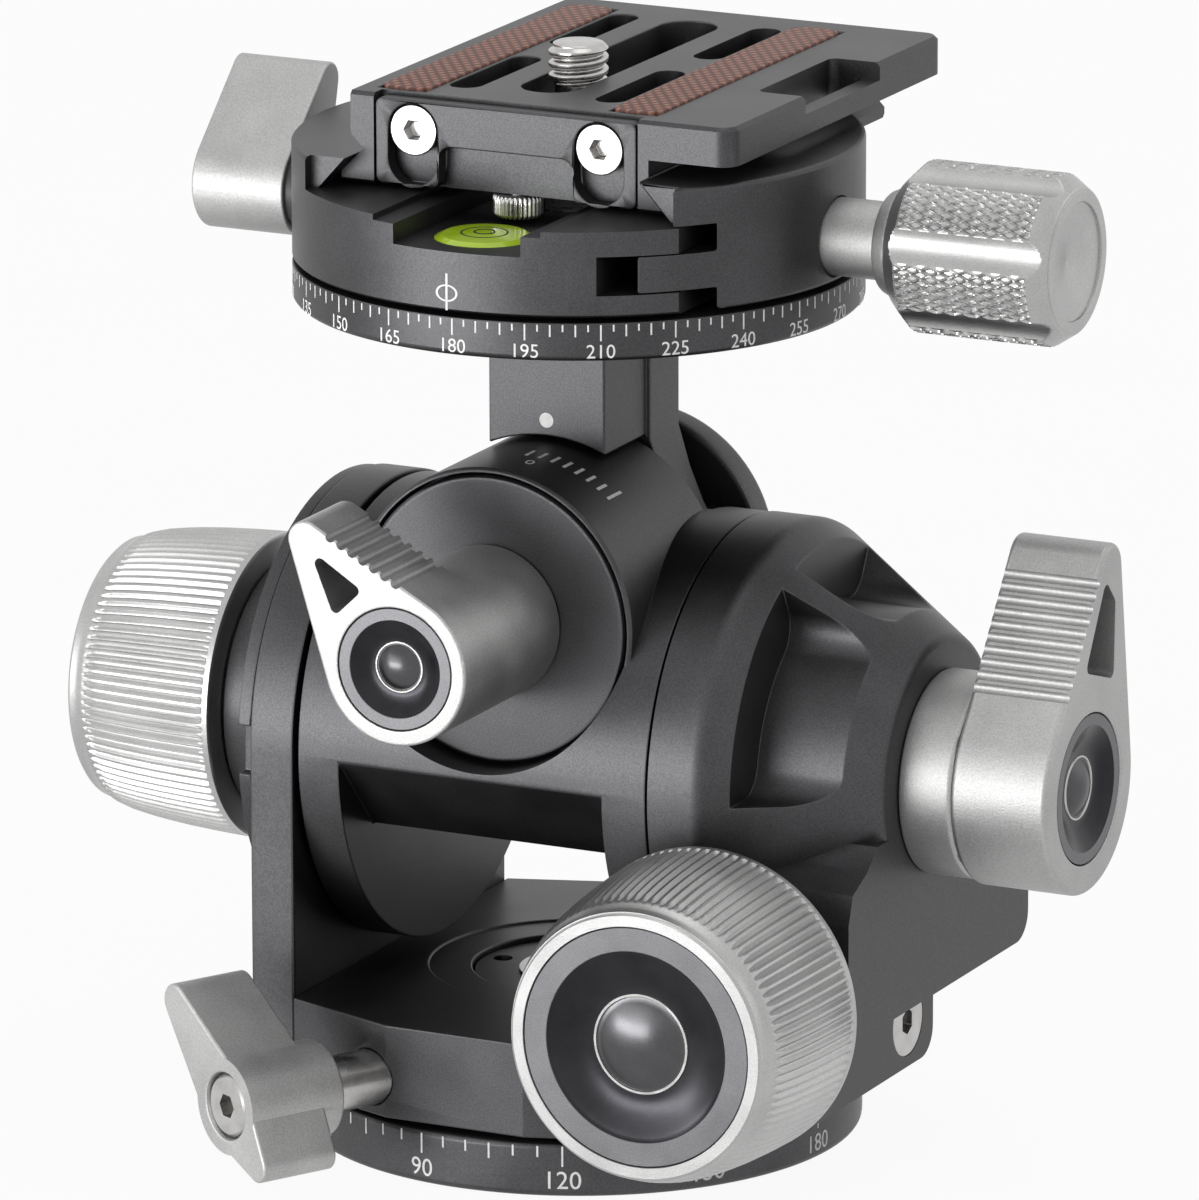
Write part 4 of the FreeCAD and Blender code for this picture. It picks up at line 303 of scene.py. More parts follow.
finishes = {
    "black_anodised": blastedMetal("blackAnodised", blackLook),
    "silver_anodised": blastedMetal("silverAnodised", silverLook),
    "black_cap": blastedMetal("blackCap", capLook),
    "steel": blastedMetal("turnedSteel", steelLook),
    "brass": blastedMetal("machinedBrass", brassLook),
    "bush_plastic": blastedMetal("bushPlastic", plasticLook),
    "rubber_pad": wovenRubber("padRubber", rubberLook),
    "level_glass": blastedMetal("levelLiquid", liquidLook),
}
paint = blastedMetal("engravingPaint", paintLook)
knobSilver = blastedMetal("knobSilver", knobLook)
capFinishes = {
    "dish": finishes["black_cap"],
    "land": blastedMetal("capLand", landLook),
    "dome": blastedMetal("capDome", domeLook),
    "ring": finishes["steel"],
}
slotOf = {part["node"]: part["material_slot"] for part in frame["record"]["subparts"]}
bodyOf = {}
for body, members in frame["record"]["behaviour"]["bodies"].items():
    for member in members:
        bodyOf[member] = body
darkened = ["pan_nut"]  # drawn in the black anodised finish instead of its brass slot
for name, node in frame["nodes"].items():
    node.data.materials.clear()
    node.data.materials.append(finishes["black_anodised" if name in darkened else slotOf[name]])
print("finishes made")

# shapes

def smoothAndSharp(mesh, angle):
    mesh.shade_smooth()
    mesh.set_sharp_from_angle(angle=math.radians(angle))


def addPiece(name, shape, body, finish, slot=None, stands=(), sharp=32):
    # a finished piece from a bmesh that is already in place
    mesh = bpy.data.meshes.new(name)
    shape.to_mesh(mesh)
    shape.free()
    smoothAndSharp(mesh, sharp)
    skins = finish if isinstance(finish, list) else [finish]
    for skin in skins:
        mesh.materials.append(skin)
    piece = bpy.data.objects.new(name, mesh)
    scene.collection.objects.link(piece)
    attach(piece, body)
    if stands:
        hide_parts(*stands)
    return piece


edgeWork = {"angle": 28, "weld": 0.002, "flat": 0.6, "segments": 2, "sharp": 32}


def chains(sharp):
    # the sharp edges, sorted into runs that touch; the dictionary's keys keep their order,
    # so that the runs come out the same each time
    left = dict.fromkeys(sharp)
    while left:
        first = next(iter(left))
        left.pop(first)
        run, ends = [first], list(first.verts)
        while ends:
            for edge in ends.pop().link_edges:
                if edge in left:
                    left.pop(edge)
                    run.append(edge)
                    ends.extend(edge.verts)
        yield run


def carriedShape(node, edge, pierced):
    # the CAD solid merged, with its flat faces whole again and its sharp edges broken;
    # a pierced plate keeps its large faces in triangles
    shape = bmesh.new()
    shape.from_mesh(frame["nodes"][node].data)
    bmesh.ops.remove_doubles(shape, verts=shape.verts, dist=edgeWork["weld"] * mm)
    bmesh.ops.dissolve_limit(shape, angle_limit=math.radians(edgeWork["flat"]),
                             verts=shape.verts, edges=shape.edges)
    if pierced:
        wide = [face for face in shape.faces if len(face.verts) > 4]
        bmesh.ops.triangulate(shape, faces=wide, ngon_method="BEAUTY")
    limit = math.radians(edgeWork["angle"])
    sharp = [line for line in shape.edges if line.is_manifold and line.calc_face_angle(0) > limit]
    runs = [sharp] if pierced else list(chains(sharp))
    for run in runs:
        bmesh.ops.bevel(shape, geom=run, offset=edge * mm, offset_type="OFFSET", affect="EDGES",
                        segments=edgeWork["segments"], profile=0.5, material=-1, clamp_overlap=not pierced)
    return shape


def dressNode(node, edge, sharp, pierced):
    shape = carriedShape(node, edge, pierced)
    slot = slotOf[node]
    piece = addPiece(node + "_finished", shape, bodyOf[node], finishes[slot], slot, [node], sharp)
    weighted = piece.modifiers.new("evenShading", "WEIGHTED_NORMAL")
    weighted.keep_sharp = True


def nodeBox(name):
    low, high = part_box(name)
    return Vector(low) / mm, Vector(high) / mm


outwards = {  # turns a shape's own Z to face along an axis
    "-X": Matrix.Rotation(math.radians(-90), 4, "Y"),
    "+X": Matrix.Rotation(math.radians(90), 4, "Y"),
    "-Y": Matrix.Rotation(math.radians(90), 4, "X"),
}
turnWeld = 0.0004  # millimetres between points that a spin brings together


def turnedShape(outline, steps, closed=False, sectors=1):
    # a turned shape about Z: outline points are (height, radius) in millimetres;
    # a fine one is spun as one sector, which is then repeated all round
    shape = bmesh.new()
    points = [shape.verts.new((radius * mm, 0, height * mm)) for height, radius in outline]
    lines = [shape.edges.new(pair) for pair in zip(points, points[1:])]
    if closed:
        lines.append(shape.edges.new((points[-1], points[0])))
    turn = math.tau / sectors
    bmesh.ops.spin(shape, geom=points + lines, cent=(0, 0, 0), axis=(0, 0, 1), angle=turn,
                   steps=steps // sectors, use_merge=sectors == 1)
    if sectors > 1:
        sector = bpy.data.meshes.new("sector")
        shape.to_mesh(sector)
        for _ in range(sectors - 1):
            bmesh.ops.rotate(shape, cent=(0, 0, 0), matrix=Matrix.Rotation(turn, 3, "Z"), verts=shape.verts)
            shape.from_mesh(sector)
        bpy.data.meshes.remove(sector)
    bmesh.ops.remove_doubles(shape, verts=shape.verts, dist=turnWeld * mm)
    bmesh.ops.recalc_face_normals(shape, faces=shape.faces)
    return shape


def carve(shape, newRadius):
    # moves each point in or out; newRadius takes its angle, height and radius, in millimetres
    for point in shape.verts:
        radius = math.hypot(point.co.x, point.co.y) / mm
        if radius < 0.01:  # on the axis
            continue
        angle = math.atan2(point.co.y, point.co.x)
        grown = newRadius(angle, point.co.z / mm, radius) / radius
        point.co.x *= grown
        point.co.y *= grown


def place(shape, facing, where):
    spot = Matrix.Translation(Vector(where) * mm) @ outwards[facing]
    bmesh.ops.transform(shape, matrix=spot, verts=shape.verts)


def endOf(name, facing, outer=False):
    # the middle of a node's inner or outer end, for the way that it faces
    low, high = nodeBox(name)
    where = (low + high) / 2
    axis = "XYZ".index(facing[1])
    corner = high if (facing[0] == "+") == outer else low
    where[axis] = corner[axis]
    return where


def rows(start, end, count):
    # even steps from start to end, both of them included
    return [start + (end - start) * row / count for row in range(count + 1)]


def between(points, height):
    # straight interpolation in a list of (height, radius)
    for (low, lowRadius), (high, highRadius) in zip(points, points[1:]):
        if low <= height <= high:
            return lowRadius + (highRadius - lowRadius) * (height - low) / (high - low)
    return points[-1][1]


# fluted knobs

flutedKnob = {
    "backEase": [(0.0, 16.2), (0.25, 16.5)],
    "profile": [(0.0, 16.5), (0.75, 16.5), (4.0, 16.38), (8.0, 16.12),
                (11.8, 15.75), (14.6, 15.3), (16.2, 14.85)],
    "shoulder": [(16.5, 14.68), (16.9, 14.44), (17.3, 14.3), (17.75, 14.24),
                 (17.95, 14.2), (18.0, 14.06), (18.08, 14.0)],
    "rim": [(18.3, 13.86), (18.3, 12.75)],
    "well": [(18.24, 12.7), (15.5, 12.7), (15.5, 3.1), (0.0, 3.1)],
    "flutes": 96,
    "deep": 0.36,
    "ridge": 0.36,
    "start": 0.85,
    "end": 16.25,
    "startFade": 0.25,
    "endFade": 1.5,
    "skin": 0.6,  # points deeper than this under the grip stay where they are
    "startRows": [0.75, 0.86, 1.0, 1.15],
    "middleRows": (1.6, 14.2, 8),
    "endRows": (14.5, 16.2, 9),
    "columns": 768,
    "sectorFlutes": 6,
    "sharp": 40,
}


def flutedRadius(look):
    # rounded grooves between flat ridges, which run out at both ends of the grip
    inner = look["profile"][-1][1] - look["skin"]

    def radiusAt(angle, height, radius):
        if not look["start"] < height < look["end"] or radius < inner:
            return radius
        phase = (angle * look["flutes"] / math.tau) % 1
        across = abs(phase - 0.5) * 2
        groove = max(0.0, (across - look["ridge"]) / (1 - look["ridge"]))
        bowl = math.sin(groove * math.pi / 2)
        nearEnd = max(0.0, 1 - (look["end"] - height) / look["endFade"])
        nearStart = max(0.0, 1 - (height - look["start"]) / look["startFade"])
        lost = max(nearEnd, nearStart) ** 2
        return radius - look["deep"] * max(0.0, bowl - lost)
    return radiusAt


def addFlutedKnob(name, facing, look):
    heights = look["startRows"] + rows(*look["middleRows"]) + rows(*look["endRows"])
    grip = [(height, between(look["profile"], height)) for height in heights]
    outline = look["backEase"] + grip + look["shoulder"] + look["rim"] + look["well"]
    sectors = look["flutes"] // look["sectorFlutes"]
    shape = turnedShape(outline, look["columns"], closed=True, sectors=sectors)
    carve(shape, flutedRadius(look))
    place(shape, facing, endOf(name, facing))
    addPiece(name + "_fluted", shape, bodyOf[name], knobSilver, "silver_anodised", [name], look["sharp"])


# the knobs' and levers' caps

knobCap = {
    "floor": -2.7,
    "edge": 12.6,
    "rimDrop": 0.1,
    "dishEdge": 10.1,
    "dishDeep": 1.5,
    "ring": 5.35,
    "ringWide": 0.36,
    "ringHigh": 0.16,
    "domeHigh": 1.25,
}
tiltLeverCap = {
    "floor": -2.6,
    "edge": 7.9,
    "rimDrop": 0.1,
    "dishEdge": 6.7,
    "dishDeep": 1.3,
    "ring": 3.45,
    "ringWide": 0.3,
    "ringHigh": 0.12,
    "domeHigh": 1.0,
}
rollLeverCap = {
    "floor": -2.6,
    "edge": 6.4,
    "rimDrop": 0.1,
    "dishEdge": 5.15,
    "dishDeep": 1.2,
    "ring": 2.75,
    "ringWide": 0.26,
    "ringHigh": 0.1,
    "domeHigh": 0.9,
}
capTurning = {"ease": 0.06, "lip": 0.05, "bowl": 1.15, "domeGap": 0.12, "columns": 144, "sharp": 30}


def capOutline(look):
    # floor, side, flat land, dish, raised ring and dome; height 0 is the node's outer face
    ease = capTurning["ease"]
    top = -look["rimDrop"]
    lip = top - capTurning["lip"]
    dish = -look["dishDeep"]
    ringIn = look["ring"] - look["ringWide"]
    ringTop = dish + look["ringHigh"]
    domeEdge = ringIn - capTurning["domeGap"]
    outline = [(look["floor"], 0), (look["floor"], look["edge"])]
    outline += [(top - ease, look["edge"]), (top, look["edge"] - ease)]
    outline += [(top, look["dishEdge"] + capTurning["lip"]), (lip, look["dishEdge"])]
    for share in rows(0.1, 1, 9):
        fall = math.sin(share * math.pi / 2) ** capTurning["bowl"]
        radius = look["dishEdge"] + (look["ring"] - look["dishEdge"]) * share
        outline.append((lip + (dish - lip) * fall, radius))
    outline += [(ringTop, look["ring"] - ease), (ringTop, ringIn + ease), (dish, ringIn)]
    for share in rows(0, 1, 10):
        radius = domeEdge * (1 - share)
        outline.append((dish + look["domeHigh"] * (1 - (radius / domeEdge) ** 2), radius))
    return outline


def capPart(look, spot):
    # which finish a face has, by its distance from the cap's axis
    radius = math.hypot(spot.x, spot.y)
    if radius > look["dishEdge"]:
        return "land"
    if radius > look["ring"] or spot.z < look["floor"] + capTurning["ease"]:
        return "dish"
    if radius > look["ring"] - look["ringWide"]:
        return "ring"
    return "dome"


def addCap(name, facing, look):
    shape = turnedShape(capOutline(look), capTurning["columns"])
    parts = list(capFinishes)
    for face in shape.faces:
        face.material_index = parts.index(capPart(look, face.calc_center_median() / mm))
    raised = outwards[facing].to_3x3() @ Vector((0, 0, look["rimDrop"]))
    place(shape, facing, endOf(name, facing, outer=True) + raised)
    addPiece(name + "_turned", shape, bodyOf[name], list(capFinishes.values()), "black_cap", [name],
             capTurning["sharp"])


addFlutedKnob("tilt_knob", "-Y", flutedKnob)
addFlutedKnob("roll_knob", "-X", flutedKnob)
addCap("tilt_knob_cap", "-Y", knobCap)
addCap("roll_knob_cap", "-X", knobCap)
addCap("tilt_lever_cap", "+X", tiltLeverCap)
addCap("roll_lever_cap", "-Y", rollLeverCap)
print("geared knobs and caps made")

# knurled clamp knob

gripKnob = {
    "long": 19.0,
    "radius": 9.0,
    "bevel": 2.2,
    "bevelTop": 7.55,
    "inner": 6.8,
    "innerEase": 0.1,
    "skin": 0.05,
    "lip": [(0.12, 7.5), (0.12, 7.35), (0, 7.22), (0, 6.3), (0.1, 6.2), (0.35, 6.15), (0.4, 5.95)],
    "dishDeep": 1.0,
    "dishFloor": 1.42,
    "bore": 2.6,
    "boreTop": 5.7,
    "flutes": 6,
    "fluteTurn": 12,
    "fluteBottom": 8.0,
    "fluteRound": 3.0,
    "diamonds": 60,
    "diamondLong": 2.1,
    "line": 0.3,
    "slope": 0.55,
    "deep": 0.26,
    "bevelLeft": 0.98,
    "columns": 600,
    "sectors": 20,
    "bodyRows": 64,
    "sharp": 24,
}


def knurledRadius(look):
    # crossed grooves leave diamonds, and six round channels run the whole length
    centre = look["fluteBottom"] + look["fluteRound"]
    start = look["bevel"] * look["bevelLeft"]
    end = look["long"] - start

    def radiusAt(angle, height, radius):
        if radius < look["inner"] - look["skin"] or height >= look["long"] - look["skin"]:
            return radius
        if start < height < end:
            around = angle * look["diamonds"] / math.tau
            along = height / look["diamondLong"]
            lines = [abs((along + turn * around) % 1 - 0.5) * 2 for turn in (-1, 1)]
            climb = (max(lines) - 1 + look["line"]) / (look["line"] * look["slope"])
            raised = min(1.0, max(0.0, climb))
            radius -= look["deep"] * (1 - raised)
        sector = 360 / look["flutes"]
        turn = math.radians((math.degrees(angle) + look["fluteTurn"]) % sector - sector / 2)
        sideways = centre * math.sin(turn)
        if abs(sideways) < look["fluteRound"]:
            channel = centre * math.cos(turn) - math.sqrt(look["fluteRound"] ** 2 - sideways ** 2)
            radius = min(radius, channel)
        return radius
    return radiusAt


def addGripKnob(look):
    full = look["radius"]
    inner = look["inner"]
    bevel = look["bevel"]
    top = look["long"]
    boreTop = top - look["boreTop"]
    drop, dishEdge = look["lip"][-1]
    outline = [(0, look["bore"]), (0, inner - look["innerEase"]), (look["innerEase"], inner)]
    outline += [(bevel * share, inner + (full - inner) * share) for share in rows(0.1, 0.95, 8)]
    outline += [(height, full) for height in rows(bevel, top - bevel, look["bodyRows"])]
    for share in rows(0.1, 0.9, 8):
        outline.append((top - bevel + bevel * share, full + (look["bevelTop"] - full) * share))
    outline += [(top - down, radius) for down, radius in look["lip"]]
    for share in rows(0.1, 0.95, 9):
        outline.append((top - drop - look["dishDeep"] * share, dishEdge * (1 - share)))
    outline += [(top - look["dishFloor"], 0), (boreTop, 0), (boreTop, look["bore"])]
    shape = turnedShape(outline, look["columns"], closed=True, sectors=look["sectors"])
    carve(shape, knurledRadius(look))
    place(shape, "+X", endOf("clamp_knob", "+X"))
    addPiece("clamp_knob_knurled", shape, bodyOf["clamp_knob"], knobSilver, "silver_anodised",
             ["clamp_knob"], look["sharp"])


addGripKnob(gripKnob)
print("clamp knob made")

# the camera screw's thread

cameraScrew = {
    "head": 6,
    "headThick": 1.9,
    "headEase": 0.2,
    "shank": 2.5,
    "sunk": 0.8,
    "runIn": 0.1,
    "pitch": 1.27,
    "crest": 3.15,
    "root": 2.62,
    "flat": 0.18,
    "skin": 0.3,
    "tip": 0.55,
    "tipEase": 0.2,
    "rowStep": 0.07,
    "firstRow": 0.05,
    "lastRow": 0.12,
    "columns": 96,
    "sharp": 60,
}


def threadRadius(look, start, end):
    # a rounded thread that fades towards the tip
    def radiusAt(angle, height, radius):
        if not start < height < end or radius < look["root"] - look["skin"]:
            return radius
        phase = (height / look["pitch"] - angle / math.tau) % 1
        climb = (1 - abs(phase - 0.5) * 2 - look["flat"]) / (1 - 2 * look["flat"])
        rounded = math.sin(min(1.0, max(0.0, climb)) * math.pi / 2)
        worn = min(1.0, (end - height) / look["tip"])
        return look["root"] + (look["crest"] - look["root"]) * rounded * worn
    return radiusAt


def addCameraScrew(look):
    low, high = nodeBox("camera_screw")
    start = nodeBox("quick_plate")[1].z - look["sunk"]
    headTop = low.z + look["headThick"]
    head = look["head"]
    ease = look["headEase"]
    outline = [(low.z, 0), (low.z, head - ease), (low.z + ease, head)]
    outline += [(headTop - ease, head), (headTop, head - ease), (headTop, look["shank"])]
    outline += [(start - look["runIn"], look["shank"]), (start, look["root"])]
    count = round((high.z - look["runIn"] - start) / look["rowStep"])
    heights = rows(start + look["firstRow"], high.z - look["lastRow"], count)
    outline += [(height, look["root"]) for height in heights]
    outline += [(high.z, look["root"] - look["tipEase"]), (high.z, 0)]
    shape = turnedShape(outline, look["columns"])
    carve(shape, threadRadius(look, start, high.z - look["firstRow"]))
    addPiece("camera_screw_threaded", shape, bodyOf["camera_screw"], finishes["steel"], "steel",
             ["camera_screw"], look["sharp"])


addCameraScrew(cameraScrew)
print("camera screw made")

# degree scales

baseScale = {
    "radius": 30.0,
    "top": 5.6,
    "turn": -97.5,
    "step": 5,
    "lengths": {30: 2.2, 15: 1.7, 5: 1.2},
    "wide": 0.2,
    "numberStep": 30,
    "numberHigh": 2.0,
    "numberGap": 0.42,
}
panScale = {
    "radius": 30.0,
    "top": 93.5,
    "turn": -179.55,
    "step": 2.5,
    "lengths": {15: 1.69, 5: 1.25, 2.5: 0.72},
    "wide": 0.17,
    "numberStep": 15,
    "numberHigh": 1.5,
    "numberGap": 0.3,
}
inkProud = 0.012
lettering = {"sizePerHigh": 1.37, "curveSteps": 4, "weld": 0.0005}


def textShape(words, high):
    # flat lettering, centred on its width, standing on y = 0, in metres
    data = bpy.data.curves.new("words", "FONT")
    data.body = words
    data.size = high * lettering["sizePerHigh"] * mm
    data.extrude = inkProud * mm
    data.align_x = "CENTER"
    data.resolution_u = lettering["curveSteps"]
    holder = bpy.data.objects.new("words", data)
    scene.collection.objects.link(holder)
    bpy.context.view_layer.update()
    mesh = bpy.data.meshes.new_from_object(holder.evaluated_get(bpy.context.evaluated_depsgraph_get()))
    shape = bmesh.new()
    shape.from_mesh(mesh)
    bpy.data.objects.remove(holder)
    bpy.data.curves.remove(data)
    bpy.data.meshes.remove(mesh)
    bmesh.ops.remove_doubles(shape, verts=shape.verts, dist=lettering["weld"] * mm)
    return shape


def wrap(shape, radius, heading, height):
    # bends a flat shape round a drum that stands on Z; heading turns from -Y towards +X
    for point in shape.verts:
        reach = radius * mm + point.co.z
        angle = math.radians(heading) + point.co.x / (radius * mm)
        point.co = Vector((reach * math.sin(angle), -reach * math.cos(angle), height * mm + point.co.y))


def mergeInto(target, shape):
    mesh = bpy.data.meshes.new("part")
    shape.to_mesh(mesh)
    shape.free()
    target.from_mesh(mesh)
    bpy.data.meshes.remove(mesh)


def barShape(wide, high):
    # a thin painted bar hanging down from y = 0
    shape = bmesh.new()
    bmesh.ops.create_cube(shape, size=1)
    bmesh.ops.scale(shape, vec=(wide * mm, high * mm, 2 * inkProud * mm), verts=shape.verts)
    bmesh.ops.translate(shape, vec=(0, -high * mm / 2, 0), verts=shape.verts)
    return shape


def addScale(name, look, body):
    marks = bmesh.new()
    for index in range(round(360 / look["step"])):
        angle = index * look["step"]
        length = next(long for step, long in look["lengths"].items() if angle % step == 0)
        bar = barShape(look["wide"], length)
        wrap(bar, look["radius"], angle + look["turn"], look["top"])
        mergeInto(marks, bar)
        if angle % look["numberStep"] == 0:
            words = textShape(str(round(angle)), look["numberHigh"])
            foot = look["top"] - max(look["lengths"].values()) - look["numberGap"] - look["numberHigh"]
            wrap(words, look["radius"], angle + look["turn"], foot)
            mergeInto(marks, words)
    addPiece(name, marks, body, paint)


drumScale = {
    "radius": 16.2,
    "axis": 59.4,
    "start": 2.8,
    "step": 5.2,
    "count": 8,
    "front": -14.2,
    "long": 2.1,
    "lastLong": 3.2,
    "wide": 0.36,
    "zero": 8.0,
    "zeroHigh": 1.5,
    "zeroFront": -16.9,
}
indexMark = {
    "radius": 30.0,
    "heading": -0.7,
    "high": 96.15,
    "wide": 0.24,
    "top": 98.2,
    "bottom": 94.35,
    "across": 2.5,
    "tall": 1.8,
}
tiltDot = {"place": (0, -7.8, 77.8), "radius": 0.8, "columns": 40}
levelMarks = {"rings": [1.15, 2.5], "wide": 0.2, "dome": 0.5, "proud": 0.03}
ringColumns = 64


def onDrum(shape, look, angle, along):
    # lays a flat shape on a drum whose axis runs along Y; angle leans from +Z towards +X
    spot = (
        Matrix.Translation(Vector((0, 0, look["axis"] * mm)))
        @ Matrix.Rotation(math.radians(angle), 4, "Y")
        @ Matrix.Translation(Vector((0, along * mm, look["radius"] * mm)))
    )
    bmesh.ops.transform(shape, matrix=spot, verts=shape.verts)


def addDrumScale(look):
    marks = bmesh.new()
    for index in range(look["count"]):
        long = look["lastLong"] if index == look["count"] - 1 else look["long"]
        bar = barShape(look["wide"], long)
        onDrum(bar, look, look["start"] + index * look["step"], look["front"] + long)
        mergeInto(marks, bar)
    words = textShape("0", look["zeroHigh"])
    onDrum(words, look, look["zero"], look["zeroFront"])
    mergeInto(marks, words)
    addPiece("roll_scale", marks, bodyOf["barrel"], paint)


def ringShape(across, wide, low, high):
    # a flat ring about Z
    inner = across - wide
    return turnedShape([(low, inner), (low, across), (high, across), (high, inner)], ringColumns, True)


def addIndexMark(look):
    mark = barShape(look["wide"], look["top"] - look["bottom"])
    wrap(mark, look["radius"], look["heading"], look["top"])
    ring = ringShape(look["across"] / 2, look["wide"], -inkProud, inkProud)
    bmesh.ops.scale(ring, vec=(1, look["tall"] / look["across"], 1), verts=ring.verts)
    wrap(ring, look["radius"], look["heading"], look["high"])
    mergeInto(mark, ring)
    addPiece("index_mark", mark, bodyOf["clamp_body"], paint)


def addDot(look):
    full = look["radius"]
    outline = [(-inkProud, 0), (-inkProud, full), (inkProud, full), (inkProud, 0)]
    dot = turnedShape(outline, look["columns"])
    place(dot, "-Y", look["place"])
    addPiece("tilt_dot", dot, bodyOf["neck"], paint)


def addLevelMarks(look):
    low, high = nodeBox("spirit_level")
    middle = (low + high) / 2
    full = (high.x - low.x) / 2
    marks = bmesh.new()
    for across in look["rings"]:
        top = high.z - look["dome"] * (across / full) ** 2
        ring = ringShape(across, look["wide"], top - look["wide"], top + look["proud"])
        bmesh.ops.translate(ring, vec=(middle.x * mm, middle.y * mm, 0), verts=ring.verts)
        mergeInto(marks, ring)
    addPiece("level_rings", marks, bodyOf["spirit_level"], finishes["bush_plastic"], "bush_plastic")


addDrumScale(drumScale)
addIndexMark(indexMark)
addDot(tiltDot)
addLevelMarks(levelMarks)
addScale("base_scale", baseScale, "base")
addScale("pan_scale", panScale, "neck")
print("degree scales made")

# castings with broken edges

edgeBreaks = {
    "right_housing": 0.45,
    "barrel": 0.22,
    "left_arm": 0.35,
    "left_arm_cover": 0.2,
    "yoke_base": 0.18,
    "neck": 0.3,
    "clamp_body": 0.25,
    "clamp_jaw": 0.25,
    "quick_plate": 0.2,
    "anti_twist_stop": 0.2,
    "roll_lever": 0.22,
    "tilt_lever": 0.3,
    "pan_lock_lever": 0.4,
    "upper_lock_lever": 0.35,
    "base_ring": 0.3,
    "upper_pan_ring": 0.2,
    "rear_cheek": 0.7,
    "front_disc": 0.3,
    "roll_hub": 0.35,
    "tilt_collar": 0.3,
    "clamp_knob_neck": 0.25,
    "cover_screws": 0.12,
    "yoke_screws": 0.15,
    "stop_screws": 0.15,
}
piercedPlates = ["anti_twist_stop", "clamp_jaw"]
faceted = {"yoke_base": 10}  # pieces whose slight corners stay crisp, with the angle
for node, edge in edgeBreaks.items():
    dressNode(node, edge, faceted.get(node, edgeWork["sharp"]), node in piercedPlates)
print("castings dressed:", len(edgeBreaks))

# pads and the safety stud

padWork = {"centre": 13.3, "corner": 1.9, "cornerSteps": 8, "edge": 0.22, "edgeSteps": 3, "sharp": 40}
studWork = {
    "head": 2.3,
    "shank": 1.0,
    "edge": 0.3,
    "topEase": 0.2,
    "ridges": 34,
    "deep": 0.2,
    "skin": 0.05,
    "firstRow": 0.1,
    "columns": 272,
    "sharp": 50,
}


def padStrip(look, wide, long, high):
    # a flat strip with round corners and a soft upper rim, standing on the origin
    strip = bmesh.new()
    bmesh.ops.create_grid(strip, x_segments=1, y_segments=1, size=0.5)
    bmesh.ops.scale(strip, vec=(wide * mm, long * mm, 1), verts=strip.verts)
    bmesh.ops.bevel(strip, geom=strip.verts[:], offset=look["corner"] * mm, offset_type="OFFSET",
                    affect="VERTICES", segments=look["cornerSteps"], profile=0.5, material=-1)
    raised = bmesh.ops.extrude_face_region(strip, geom=strip.faces[:])["geom"]
    tops = [part for part in raised if isinstance(part, bmesh.types.BMVert)]
    bmesh.ops.translate(strip, vec=(0, 0, high * mm), verts=tops)
    rim = [line for line in strip.edges if all(end in tops for end in line.verts)]
    bmesh.ops.bevel(strip, geom=rim, offset=look["edge"] * mm, offset_type="OFFSET", affect="EDGES",
                    segments=look["edgeSteps"], profile=0.5, material=-1)
    return strip


def addPads(look):
    low, high = nodeBox("grip_pads")
    wide = 2 * (high.x - look["centre"])
    pads = bmesh.new()
    for side in (-1, 1):
        strip = padStrip(look, wide, high.y - low.y, high.z - low.z)
        middle = Vector((side * (high.x - wide / 2), (low.y + high.y) / 2, low.z))
        bmesh.ops.translate(strip, vec=middle * mm, verts=strip.verts)
        bmesh.ops.recalc_face_normals(strip, faces=strip.faces)
        mergeInto(pads, strip)
    addPiece("grip_pads_woven", pads, bodyOf["grip_pads"], finishes["rubber_pad"], "rubber_pad",
             ["grip_pads"], look["sharp"])


def ridgedRadius(look, full):
    # straight ridges round the head's rim
    def radiusAt(angle, height, radius):
        if radius <= full - look["skin"]:
            return radius
        return radius - look["deep"] * (0.5 + 0.5 * math.cos(angle * look["ridges"]))
    return radiusAt


def addSafetyStud(look):
    low, high = nodeBox("safety_stud")
    full = (high.x - low.x) / 2
    top = low.z + look["head"]
    rim = low.z + look["edge"]
    outline = [(low.z, 0), (low.z, full - look["edge"]), (rim, full)]
    outline += [(height, full) for height in rows(rim + look["firstRow"], top - look["topEase"], 3)]
    outline += [(top, full - look["topEase"]), (top, look["shank"]), (high.z, look["shank"]), (high.z, 0)]
    shape = turnedShape(outline, look["columns"])
    carve(shape, ridgedRadius(look, full))
    middle = (low + high) / 2
    bmesh.ops.translate(shape, vec=(middle.x * mm, middle.y * mm, 0), verts=shape.verts)
    addPiece("safety_stud_knurled", shape, bodyOf["safety_stud"], finishes["steel"], "steel",
             ["safety_stud"], look["sharp"])


addPads(padWork)
addSafetyStud(studWork)
print("pads and safety stud made")

# camera, light and floor

viewpoint = {  # place in millimetres, angles in degrees, clipping in metres
    "place": (533.185, -1083.575, 375.877),
    "heading": 26.101,
    "down": 14.812,
    "roll": -0.095,
    "lens": 355.46,
    "sensor": 36,
    "near": 0.05,
    "far": 20,
}


def addCamera(look):
    data = bpy.data.cameras.new("viewCamera")
    data.lens = look["lens"]
    data.sensor_width = look["sensor"]
    data.clip_start = look["near"]
    data.clip_end = look["far"]
    camera = bpy.data.objects.new("viewCamera", data)
    scene.collection.objects.link(camera)
    camera.matrix_world = (
        Matrix.Translation(Vector(look["place"]) * mm)
        @ Matrix.Rotation(math.radians(look["heading"]), 4, "Z")
        @ Matrix.Rotation(math.radians(90 - look["down"]), 4, "X")
        @ Matrix.Rotation(math.radians(look["roll"]), 4, "Z")
    )
    scene.camera = camera


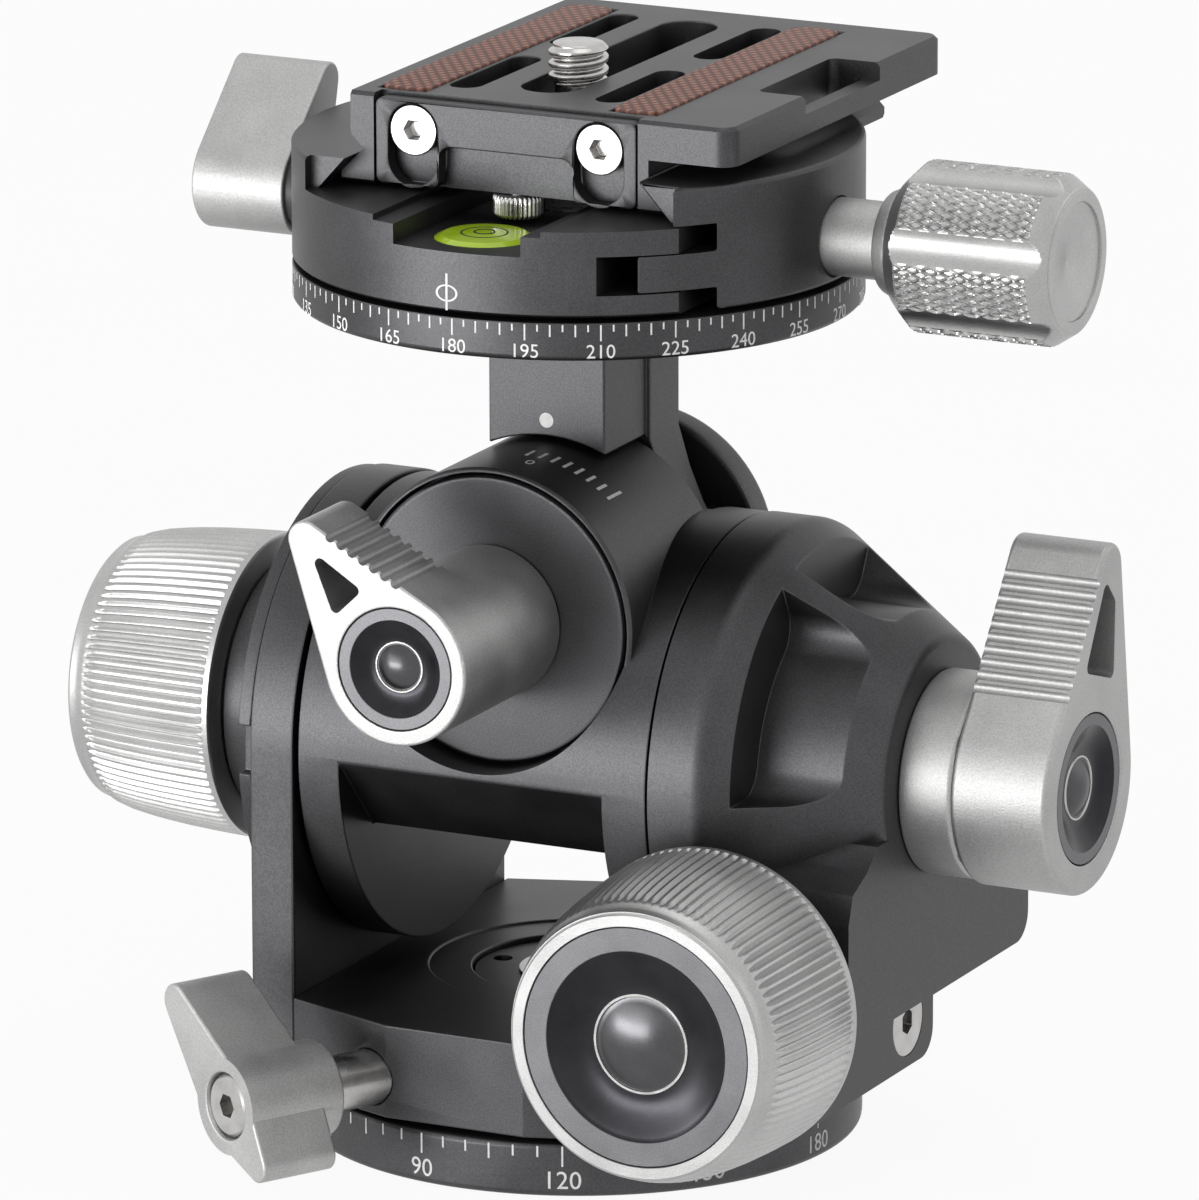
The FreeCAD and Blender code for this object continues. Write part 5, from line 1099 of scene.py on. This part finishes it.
lamps = {  # places and sizes in metres, power in watts
    "front": {"place": (-0.40, -0.62, 0.17), "size": (0.7, 0.34), "power": 1.5},
    "low": {"place": (-0.17, -0.35, 0.03), "size": (0.3, 0.1), "power": 0.9},
    "backRight": {"place": (0.8, 0.75, 0.4), "size": (0.6, 0.6), "power": 0.5},
    "left": {"place": (-1.0, 0.0, 0.4), "size": (0.6, 0.6), "power": 0.15},
    "top": {"place": (0.0, 0.05, 1.2), "size": (0.6, 0.6), "power": 1.3},
}
lampAim = Vector((0, 0, 0.06))
studio = {
    "worldLight": 0.6,
    "worldShown": 1.0,
    "floorSide": 8.0,
    "floorDark": (0.8, 0.8, 0.8),
    "floorLight": (0.83, 0.83, 0.83),
    "cloudSize": 40,
    "shadow": 0.07,
}


def addLamps(group):
    for name, look in group.items():
        data = bpy.data.lights.new(name, "AREA")
        data.shape = "RECTANGLE"
        data.size, data.size_y = look["size"]
        data.energy = look["power"]
        lamp = bpy.data.objects.new(name, data)
        lamp.location = look["place"]
        lamp.rotation_euler = (lampAim - lamp.location).to_track_quat("-Z", "Y").to_euler()
        scene.collection.objects.link(lamp)


def seenRays(tree):
    # one for a ray that sees the background straight, in a reflection or through glass
    rays = addNode(tree, "ShaderNodeLightPath")
    direct = addNode(tree, "ShaderNodeMath", operation="MAXIMUM")
    seen = addNode(tree, "ShaderNodeMath", operation="MAXIMUM")
    join(tree, rays, "Is Camera Ray", direct, 0)
    join(tree, rays, "Is Transmission Ray", direct, 1)
    join(tree, direct, "Value", seen, 0)
    join(tree, rays, "Is Glossy Ray", seen, 1)
    return seen


def addWorld(look):
    world = bpy.data.worlds.new("studio")
    world.use_nodes = True
    scene.world = world
    tree = world.node_tree
    tree.nodes.clear()
    output = tree.nodes.new("ShaderNodeOutputWorld")
    strength = addNode(tree, "ShaderNodeMapRange")
    setInputs(strength, {"To Min": look["worldLight"], "To Max": look["worldShown"]})
    join(tree, seenRays(tree), "Value", strength, "Value")
    background = addNode(tree, "ShaderNodeBackground", Color=(1, 1, 1, 1))
    join(tree, strength, "Result", background, "Strength")
    join(tree, background, "Background", output, "Surface")


def addFloor(look):
    # white where it is seen, apart from the shadow's share
    shape = bmesh.new()
    bmesh.ops.create_grid(shape, x_segments=1, y_segments=1, size=look["floorSide"] / 2)
    mesh = bpy.data.meshes.new("floor")
    shape.to_mesh(mesh)
    shape.free()
    material, tree, output = newMaterial("paleFloor")
    point = objectPoint(tree)
    cloud = noise(tree, point, look["cloudSize"])
    colour = tint(tree, spread(tree, cloud, "Fac", 0, 1), look["floorDark"], look["floorLight"])
    cloth = addNode(tree, "ShaderNodeBsdfDiffuse")
    join(tree, colour, "Result", cloth, "Color")
    glow = addNode(tree, "ShaderNodeEmission", Color=(1, 1, 1, 1), Strength=1.0)
    share = addNode(tree, "ShaderNodeMath", operation="MULTIPLY")
    share.inputs[1].default_value = 1 - look["shadow"]
    join(tree, seenRays(tree), "Value", share, 0)
    mixed = addNode(tree, "ShaderNodeMixShader")
    join(tree, share, "Value", mixed, "Fac")
    join(tree, cloth, "BSDF", mixed, 1)
    join(tree, glow, "Emission", mixed, 2)
    join(tree, mixed, "Shader", output, "Surface")
    mesh.materials.append(material)
    floor = bpy.data.objects.new("floor", mesh)
    scene.collection.objects.link(floor)


addCamera(viewpoint)
addLamps(lamps)
addWorld(studio)
addFloor(studio)
scene.view_settings.view_transform = "Standard"
print("camera, lamps and floor placed")
